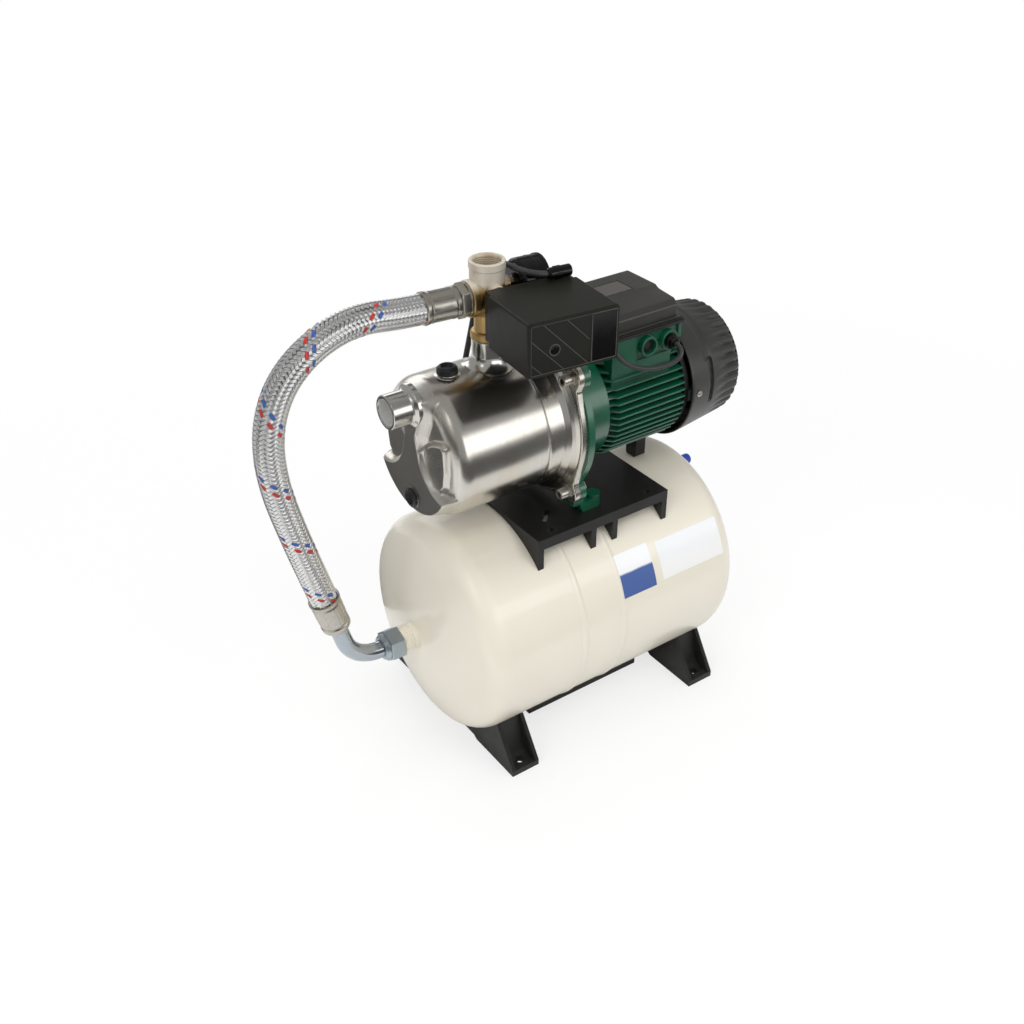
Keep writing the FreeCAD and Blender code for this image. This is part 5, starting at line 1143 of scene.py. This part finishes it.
switch = {"left": -21.5, "right": 86.5, "front": 126.2, "back": 42, "low": 525.3, "high": 585.8,
          "screw": (31, 27.2),
          # diagonal bands of the face: from, to, level
          "bands": ((8, 19.8, 0.0), (19.8, 45.4, -0.8), (45.4, 74.4, 0.0), (74.4, 101.6, -0.8),
                    (101.6, 131, 0.0)),
          # leads' glands: level, hexagon, where the hexagon stands, profile
          "glands": ((591.8, 12.6, (61, 70), ((53.2, 3.6), (53.2, 5.0, 0.6), (56, 6.2, 0.6), (60, 6.5),
                                              (81, 6.5, 1),
                                             (82, 0))),
                     (537.3, 13.6, (85, 90), ((82.6, 0), (82.6, 7), (90, 7, 0.8), (96.4, 5.6, 1),
                                              (96.5, 3.2))))}


def buildSwitch():
    left, right, front, back, low, high = (switch[k] for k in ("left", "right", "front", "back", "low",
                                                               "high"))
    # the cover stands on its face: outline in x and z, its depth along the fitting's -Y
    faceOn = teeTurn @ facingFront
    form = bmesh.new()
    box = [(left, low, 3), (right, low, 3), (right, high, 3.4), (left, high, 3.4)]
    prism(form, eased(box, 5, True), back, front - 1.0, faceOn, 0.8, 3, 2.6)
    # border lip of the front face
    rim = eased(oblong(left + 1.2, right - 1.2, low + 1.2, high - 1.2, 3), 5, True)
    hole = inset(rim, 2.0)
    rings = []
    for shape, deep in ((rim, 2.4), (rim, 0.5), (inset(rim, 0.5), 0), (inset(rim, 1.6), 0), (hole, 0.4),
                        (hole, 2.4)):
        rings.append([form.verts.new(faceOn @ Vector((p.x, p.y, front - deep))) for p in shape])
    bridge(form, rings)
    # diagonal raised bands on the left two thirds, with a fine edge line at each end in a paler finish, a
    # painted highlight where the edge catches the light
    field = [p[:2] for p in oblong(left + 3.6, left + 71.6, low + 3.4, high - 3.4)]
    edges = bmesh.new()
    corner = left + low

    def diagonal(first, second):
        return clipped(clipped(field, 1, 1, second + corner), -1, -1, -(first + corner))
    for first, second, level in switch["bands"]:
        band, line = diagonal(first, second), diagonal(second - 0.55, second + 0.55)
        if len(band) > 2:
            outline = eased([(u, v, 0.6) for u, v in band], 2, True)
            prism(form, outline, front - 2.4, front - 0.7 + level, faceOn, 0.1, 2, 0.3)
        if len(line) > 2:
            prism(edges, line, front - 2, front - 0.5, faceOn, 0.05, 1, 0.2)
    screwPlace = atTee((left + switch["screw"][0], 0, low + switch["screw"][1]), (0, -1, 0))
    ring = eased([(front - 2.4, 5.6), (front - 0.4, 5.6, 0.2), (front - 0.4, 6.5, 0.2), (front - 2.4, 6.5)],
                 3)
    spin(edges, ring, 56, screwPlace, closed=True)
    # thin frames in the same paler finish, painted highlight lines: inside the rim, and round the blank panel
    for u0, u1, v0, v1 in ((left + 3.0, right - 3.0, low + 2.9, high - 2.9),
                           (right - 33.6, right - 2.6, low + 3.4, high - 3.4)):
        for span in ((u0, u1, v0, v0 + 0.8), (u0, u1, v1 - 0.8, v1), (u0, u0 + 0.8, v0, v1),
                     (u1 - 0.8, u1, v0, v1)):
            prism(edges, oblong(*span), front - 2, front - 0.35, faceOn, 0.05, 1, 0.2)
    addPiece(form, "switch_cover_moulding", "switchOlive", ["switch_cover"])
    # the lines, frames and screw ring are paler than the cover: painted highlights along its edges
    addPiece(edges, "switch_cover_lines", "rubbedOlive")
    form = bmesh.new()
    panel = eased(oblong(right - 32.4, right - 3.6, low + 3.6, high - 3.6, 1), 3, True)
    prism(form, panel, front - 2.4, front - 0.5, faceOn, 0.1, 1, 0.4)
    addPiece(form, "switch_blank_panel", "glossBlack")
    form = bmesh.new()
    head = eased([(60, 2.8), (front - 2.4, 2.8), (front - 2.4, 5.2), (front - 0.6, 5.2, 0.8),
                  (front - 0.4, 0)])
    spin(form, head, 40, screwPlace)
    prism(form, oblong(-3.4, 3.4, -0.9, 0.9), front - 0.8, front - 0.2, screwPlace, 0.05, 1)
    addPiece(form, "switch_slotted_screw", "glossBlack", ["switch_cover_screw"])
    softened("switch_base_moulding", "switch_base", 0.8, "switchOlive")
    form = bmesh.new()
    for level, flats, (start, end), profile in switch["glands"]:
        place = atTee((0, -34.75, level), (1, 0, 0))
        spin(form, eased(profile), 40, place)
        prism(form, hexagon(flats, 30), start, end, place, 0.6)
    addPiece(form, "switch_lead_glands", "glossBlack", ["switch_glands"])


crimps = {"count": 8, "depth": 0.7}
elbow = {"top": (-325, 0, 260), "lean": 74.2, "sleeve": 47.2, "bend": 46, "radius": 10.5, "end": -248,
         "sides": 48}


def crimped(low, high):
    def shape(angle, along, reach):
        flat = (angle * crimps["count"] / (2 * math.pi)) % 1
        if low < along < high and reach > 15 and 0.12 < flat < 0.88:
            return along, reach - crimps["depth"]
        return along, reach
    return shape


def buildHose():
    # nut, crimped sleeves, elbow and swivel nut; the liner and its two woven layers come after
    place = atTee((0, 0, fitting["hoseLevel"]), (-1, 0, 0))
    form = bmesh.new()
    prism(form, hexagon(34.6, 11, 1.2), 27.5, 37.4, place, 1.4, 3)
    spin(form, eased([(13.2, 15), (25.1, 15), (25.1, 18.6, 0.4), (27.6, 18.6, 0.4), (27.6, 14)]), 64, place)
    addPiece(form, "hose_nut_upper", "zinc", ["hose_tee_nut"], 35)
    sleeve = eased([(37.5, 0), (37.5, 16.6), (38.3, 17.3, 0.6), (41.6, 17.3, 0.6), (42.6, 16.9, 0.4),
                    (44, 17.5, 0.5), (46, 17.5), (52, 17.5), (60, 17.5), (66, 17.5), (70, 17.5, 0.5),
                    (71.6, 16.9, 0.5), (73.5, 17.9, 0.8), (77, 18.2, 0.8), (78, 17.2, 0.4), (78, 0)], 3)
    lathed("hose_sleeve_upper", "crimped", sleeve, 192, place, ["hose_ferrule_upper"], 30,
           shape=crimped(45, 69))
    lean, bend, top = math.radians(elbow["lean"]), elbow["bend"], Vector(elbow["top"])
    down = Vector((math.cos(lean), 0, -math.sin(lean)))
    sleeve = eased([(0, 0), (0, 17.4), (1, 18.3, 0.6), (4, 18.3, 0.8), (6, 17.0, 0.6), (8, 17.6, 0.6),
                    (12, 17.6), (20, 17.6), (30, 17.4), (36, 17.0, 0.6), (38, 16.2, 0.6), (40, 17.2, 0.6),
                    (45, 17.2, 0.8), (47.2, 15.8, 0.4), (47.2, 0)], 3)
    lathed("hose_sleeve_lower", "crimped", sleeve, 192, axes(top, down, (0, 1, 0)), ["hose_ferrule_lower"],
           30, shape=crimped(9, 34))
    # swept elbow: down from the sleeve, round the bend, then level into the vessel
    start = top + down * elbow["sleeve"]
    corner = start + down * ((start.z - tankAxis) / math.sin(lean))
    centre = corner - down * bend * math.tan(lean / 2) + Vector((math.sin(lean), 0, math.cos(lean))) * bend
    path = [(start, down)]
    for k in range(25):
        angle = lean * (1 - k / 24)
        path.append((centre - Vector((math.sin(angle), 0, math.cos(angle))) * bend,
                     Vector((math.cos(angle), 0, -math.sin(angle)))))
    path.append((Vector((elbow["end"], 0, tankAxis)), Vector((1, 0, 0))))
    form = bmesh.new()
    circle = [Vector((u, v, 0)) for u, v in arc(0, 0, elbow["radius"], 0, 2 * math.pi, elbow["sides"])[:-1]]
    rings = []
    for spot, way in path:
        rig = axes(spot, way, (0, 1, 0))
        rings.append([form.verts.new(rig @ point) for point in circle])
    bridge(form, rings)
    form.faces.new(rings[0])
    form.faces.new(rings[-1])
    collarSheen = eased([(-0.1, 10), (-0.1, 13.2, 0.8), (4, 13.2, 1), (5.5, 11, 0.8), (6.5, 10)])
    spin(form, collarSheen, 48, axes(start, down, (0, 1, 0)))
    addPiece(form, "hose_swept_elbow", "chrome", ["hose_elbow"])
    form = bmesh.new()
    place = axes((0, 0, tankAxis), (-1, 0, 0))
    prism(form, hexagon(36, 8, 1.2), 233, 252, place, 1.6, 3)
    spin(form, eased([(251, 16.8), (253.5, 16.8, 0.8), (258, 14, 1.2), (258, 10.6)]), 64, place)
    addPiece(form, "tank_union_nut", "zincBlue", ["tank_swivel_nut"], 35)


braid = {"radius": 15.35, "weave": 0.5, "pitch": 76, "strands": 16, "samples": 560, "width": 3.7,
         "thick": 0.28, "liner": 15.0, "red": 7.0, "blue": 5.0}


def wovenBraid():
    # strands wound round the hose's own line, two over and two under
    tree = Tree("wovenBraid", {
        "Strands": ("Int", 24), "Samples": ("Int", 600), "Radius": ("Float", 15.9), "Weave": ("Float", 0.4),
        "Turns": ("Float", 6.0), "Width": ("Float", 2.9), "Thick": ("Float", 0.3), "Red": ("Float", -1.0),
        "Blue": ("Float", -1.0), "Finish": ("Material", None)})
    wires = tree.wires
    centre = tree.node("GeometryNodeMeshToCurve", {}, {"Mesh": wires["Geometry"]})
    even = tree.node("GeometryNodeResampleCurve", {}, {"Curve": centre, "Count": wires["Samples"]})
    many = tree.node("GeometryNodeDuplicateElements", {"domain": "SPLINE"},
                     {"Geometry": even, "Amount": wires["Strands"]})
    strand = Wire(tree, many.socket.node.outputs["Duplicate Index"])
    kept = tree.stored(many, "strand", strand, "CURVE")
    along = tree.node("GeometryNodeSplineParameter", out="Factor")
    number = tree.named("strand")
    count = wires["Strands"] * 1.0
    angle = number * (2 * math.pi) / count + along * wires["Turns"] * (2 * math.pi)
    crossing = along * wires["Turns"].math("ABSOLUTE") * count * 2
    way = wires["Turns"].math("SIGN")
    over = ((number * 2 + crossing * way - 0.5) * (math.pi / 2)).math("COSINE") * way
    normal = tree.node("GeometryNodeInputNormal")
    side = tree.vector("CROSS_PRODUCT", tree.node("GeometryNodeInputTangent"), normal)
    outward = tree.vector("ADD", tree.scaled(normal, angle.math("COSINE")),
                          tree.scaled(side, angle.math("SINE")))
    offset = tree.scaled(outward, wires["Radius"] + over * wires["Weave"])
    facing = tree.stored(kept, "outward", outward, kind="FLOAT_VECTOR")
    moved = tree.node("GeometryNodeSetPosition", {}, {"Geometry": facing, "Offset": offset})
    aimed = tree.node("GeometryNodeSetCurveNormal", {"mode": "FREE"},
                      {"Curve": moved, "Normal": tree.named("outward", "FLOAT_VECTOR")})
    tracer = number.math("COMPARE", wires["Red"], 0.1) + number.math("COMPARE", wires["Blue"], 0.1) * 2
    marked = tree.stored(aimed, "tracer", tracer, "CURVE")
    # how high the strand rides, kept for the finish's painted shade where it dives under
    shadeHeightStored = tree.stored(marked, "lifted", over * 0.5 + 0.5)
    # the strand's section: a low arch of three wires
    strip = tree.node("GeometryNodeCurvePrimitiveLine", {},
                      {"Start": tree.point(y=wires["Width"] * -0.5),
                       "End": tree.point(y=wires["Width"] * 0.5)})
    bent = tree.node("GeometryNodeResampleCurve", {}, {"Curve": strip, "Count": 7})
    share = tree.node("GeometryNodeSplineParameter", out="Factor")
    rise = (share - 0.5) * (share - 0.5) * -4 + 1
    wire = (share * (6 * math.pi)).math("COSINE") * -0.16 + 0.16
    lift = tree.point(rise * wires["Thick"] + wire)
    arched = tree.node("GeometryNodeSetPosition", {}, {"Geometry": bent, "Offset": lift})
    lane = tree.stored(arched, "acrossStrand", share)
    tree.finish(tree.node("GeometryNodeCurveToMesh", {}, {"Curve": shadeHeightStored, "Profile Curve": lane}))
    return tree


def buildBraid():
    length = lineLength(hoseLine)
    guide = bpy.data.meshes.new("hoseGuide")
    count = len(hoseLine)
    guide.from_pydata([p * 1000 for p in hoseLine], [(k, k + 1) for k in range(count - 1)], [])
    tree = wovenBraid()
    turns = length * 1000 / braid["pitch"]
    for name, way, red, blue in (("hose_braid_right", 1, -1.0, -1.0),
                                 ("hose_braid_left", -1, braid["red"], braid["blue"])):
        holder = linked(name, guide.copy())
        tree.run(holder, Strands=braid["strands"], Samples=braid["samples"], Radius=braid["radius"],
                 Weave=braid["weave"], Turns=turns * way, Width=braid["width"], Thick=braid["thick"], Red=red,
                 Blue=blue, Finish=finishes["braid"])
        holder.data.transform(Matrix.Scale(mm, 4))
        settle(holder, name, "braid", angle=80, weighted=False)
    liner = layCord("hose_liner", hoseRoute, braid["liner"], "braidCore", ["hose"], 12)


mainsPlug = {"place": (54, 174.6, 18), "ribs": 5, "ribPitch": 3.2, "grips": 20, "pinGap": 9.5}


def buildMainsPlug():
    # a moulded plug at the lead's end: ribbed strain relief, ribbed grip, two round pins
    x, y, z = mainsPlug["place"]
    line = [(0.2, 0), (0.2, 3.9), (0.8, 4.2)]
    for k in range(mainsPlug["ribs"]):
        start, reach = 2.6 + k * mainsPlug["ribPitch"], 4.3 + k * 0.35
        line += [(start, reach), (start + 0.3, reach - 0.7), (start + 1.4, reach - 0.6),
                 (start + 1.7, reach + 0.1)]
    line += eased([(19, 6.2), (22.5, 12.5, 2.5), (26.5, 17.6, 2.5), (30, 17.9, 0.5), (34, 17.9), (39, 17.9),
                   (44, 17.9, 0.5), (49.8, 17.2, 2), (49.8, 0)], 5)

    def gripped(angle, along, reach):
        if 29 < along < 44.5 and reach > 17:
            return along, reach - 0.9 * (0.5 + 0.5 * math.cos(angle * mainsPlug["grips"])) ** 2
        return along, reach
    lathed("mains_plug_moulding", "rubber", line, 120, axes((x, y, z), (-1, 0, 0)), ["mains_plug"],
           shape=gripped)
    form = bmesh.new()
    pin = eased([(48, 2.3), (67.9, 2.3, 0.8), (68.9, 1.2, 0.4), (68.9, 0)], 3)
    for side in (-1, 1):
        spin(form, pin, 28, axes((x, y + side * mainsPlug["pinGap"], z), (-1, 0, 0)))
    addPiece(form, "mains_plug_pins", "zinc")


def sheetMesh(name, width, height, level=0.0):
    # one flat face round the middle
    mesh = bpy.data.meshes.new(name)
    around = oblong(-width / 2, width / 2, -height / 2, height / 2)
    mesh.from_pydata([(u, v, level) for u, v, soft in around], [], [(0, 1, 2, 3)])
    return mesh


def card(name, centre, facing, width, height, glow, tint=(1, 1, 1)):
    # a card that only reflections see
    obj = linked(name, sheetMesh(name, width, height))
    way = Vector(facing) - Vector(centre)
    obj.matrix_world = Matrix.Translation(centre) @ way.to_track_quat("Z", "Y").to_matrix().to_4x4()
    paper = Finish(name + "Paper", (0.02, 0.02, 0.02, 1), 1.0, Specular_IOR_Level=0.0,
                   Emission_Color=(*tint, 1), Emission_Strength=glow)
    obj.data.materials.append(paper.material)
    obj.visible_camera = False
    obj.visible_diffuse = False
    obj.visible_shadow = False
    obj.visible_transmission = False


# the studio: pale floor, soft boxes that light, and cards for the metal
studio = {
    "air": 0.42,
    # lamp: place, width, watts
    "lamps": {"keyBox": ((0.5, -1.7, 2.2), 1.5, 24), "leftBox": ((-1.9, -0.8, 1.7), 1.2, 19),
              "topBox": ((0.1, 0.3, 2.6), 1.6, 27), "backBox": ((0.3, 2.2, 1.4), 1.4, 9)},
    # card: place, what it faces, width, height, glow
    "cards": {"stripRight": ((0.9, -1.68, 0.86), (0.9, 0, 0.42), 2.6, 0.9, 2.1),
              "ceilingDark": ((0.95, -0.92, 1.89), (0.95, 0, 0.43), 2.0, 1.3, 0.3),
              "goldStreak": ((1.12, 0.02, 2.16), (1.12, 0, 0.43), 0.42, 0.2, 1.1, (1.0, 0.72, 0.34)),
              "backDark": ((0.85, 1.3, 1.5), (0.85, 0, 0.43), 1.2, 0.7, 0.13),
              "frontDark": ((-0.07, -0.5, 0.2), (-0.07, 0, 0.2), 1.3, 0.36, 0.1),
              "leftWhite": ((-1.6, -0.6, 1.75), (-0.15, 0, 0.45), 0.4, 0.8, 1.6),
              "leftDark": ((-2.0, -0.3, 0.5), (-0.1, 0, 0.4), 2.2, 0.8, 0.08),
              "floorDark": ((-0.6, 0.6, 0.02), (-0.6, 0.6, 1.0), 0.95, 0.74, 0.08)}}


def buildStudio():
    floor = linked("studioFloor", sheetMesh("studioFloor", 16, 16, -0.0002))
    # the floor fades to white for the camera and keeps the shadow near the set
    sheet = Finish("studioPaper", (0.9, 0.9, 0.9, 1), 0.9, Specular_IOR_Level=0.0)
    glow = sheet.node("ShaderNodeEmission", {}, {"Color": (1, 1, 1, 1), "Strength": 1.0})
    path = sheet.node("ShaderNodeLightPath", out="Is Camera Ray")
    far = sheet.node("ShaderNodeVectorMath", {"operation": "LENGTH"}, {0: sheet.place}, out="Value")
    clear = far.within(0.55, 1.5) * 0.28 + 0.72
    both = sheet.node("ShaderNodeMixShader", {}, {0: path * clear, 1: Wire(sheet, sheet.shader.outputs[0]),
                                                  2: glow})
    sheet.feed(sheet.tree.nodes["Material Output"].inputs["Surface"], both)
    floor.data.materials.append(sheet.material)
    world = bpy.data.worlds.new("studioAir")
    bpy.context.scene.world = world
    world.use_nodes = True
    air = Graph(world.node_tree)
    rays = world.node_tree.nodes.new("ShaderNodeLightPath")
    seen = Wire(air, rays.outputs["Is Camera Ray"]) + Wire(air, rays.outputs["Is Transmission Ray"])
    background = world.node_tree.nodes["Background"]
    background.inputs["Color"].default_value = (1, 1, 1, 1)
    air.feed(background.inputs["Strength"], seen.math("MINIMUM", 1.0) * (1 - studio["air"]) + studio["air"])
    for name, (spot, width, power) in studio["lamps"].items():
        lamp = bpy.data.lights.new(name, "AREA")
        lamp.shape = "SQUARE"
        lamp.size = width
        lamp.energy = power
        obj = linked(name, lamp)
        obj.location = spot
        obj.rotation_euler = (Vector((-0.05, 0, 0.3)) - Vector(spot)).to_track_quat("-Z", "Y").to_euler()
        obj.visible_glossy = name == "backBox"
    for name, values in studio["cards"].items():
        card(name, *values)


hiddenFinishes = {
    "tank_bladder": "rubber", "air_valve_stem": "brass", "diffuser": "polymer", "ejector": "polymer",
    "impeller": "polymer", "seal_disc": "flange", "seal_seat": "ceramic", "seal_head": "rubber",
    "casing_o_ring": "rubber", "stator_core": "darkSteel", "stator_windings": "copper",
    # the end shield's near black is painted shade of the gap behind the fins
    "rotor_core": "darkSteel", "motor_shaft": "chrome", "shaft_bearings": "zinc", "end_shield": "shieldDark",
    "cooling_fan": "plugBlack", "terminal_board": "polymer", "run_capacitor": "polymer",
    "contact_block": "polymer", "switch_lever": "zinc"}

buildTank()
buildFeet()
print("vessel, feet and saddle made")
buildCasing()
buildPlug("filler_plug_ribbed", "filler_plug", "filler", (-153, 0, 491.6), (0, 0, 1), 6.8, 2)
buildPlug("drain_plug_ribbed", "drain_plug", "drain", (-204.3, 0, 349), (-1, 0, 0), 4.5)
buildBolts()
print("pump made")
buildMotor()
buildFanCover()
buildTerminalBox()
print("motor made")
buildFitting()
buildGauge()
buildSwitch()
print("fitting, gauge and switch made")
buildHose()
buildBraid()
buildMainsPlug()
print("hose and mains plug made")
for node, finish in hiddenFinishes.items():
    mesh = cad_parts[node].data
    mesh.materials.clear()
    mesh.materials.append(finishes[finish])
buildStudio()
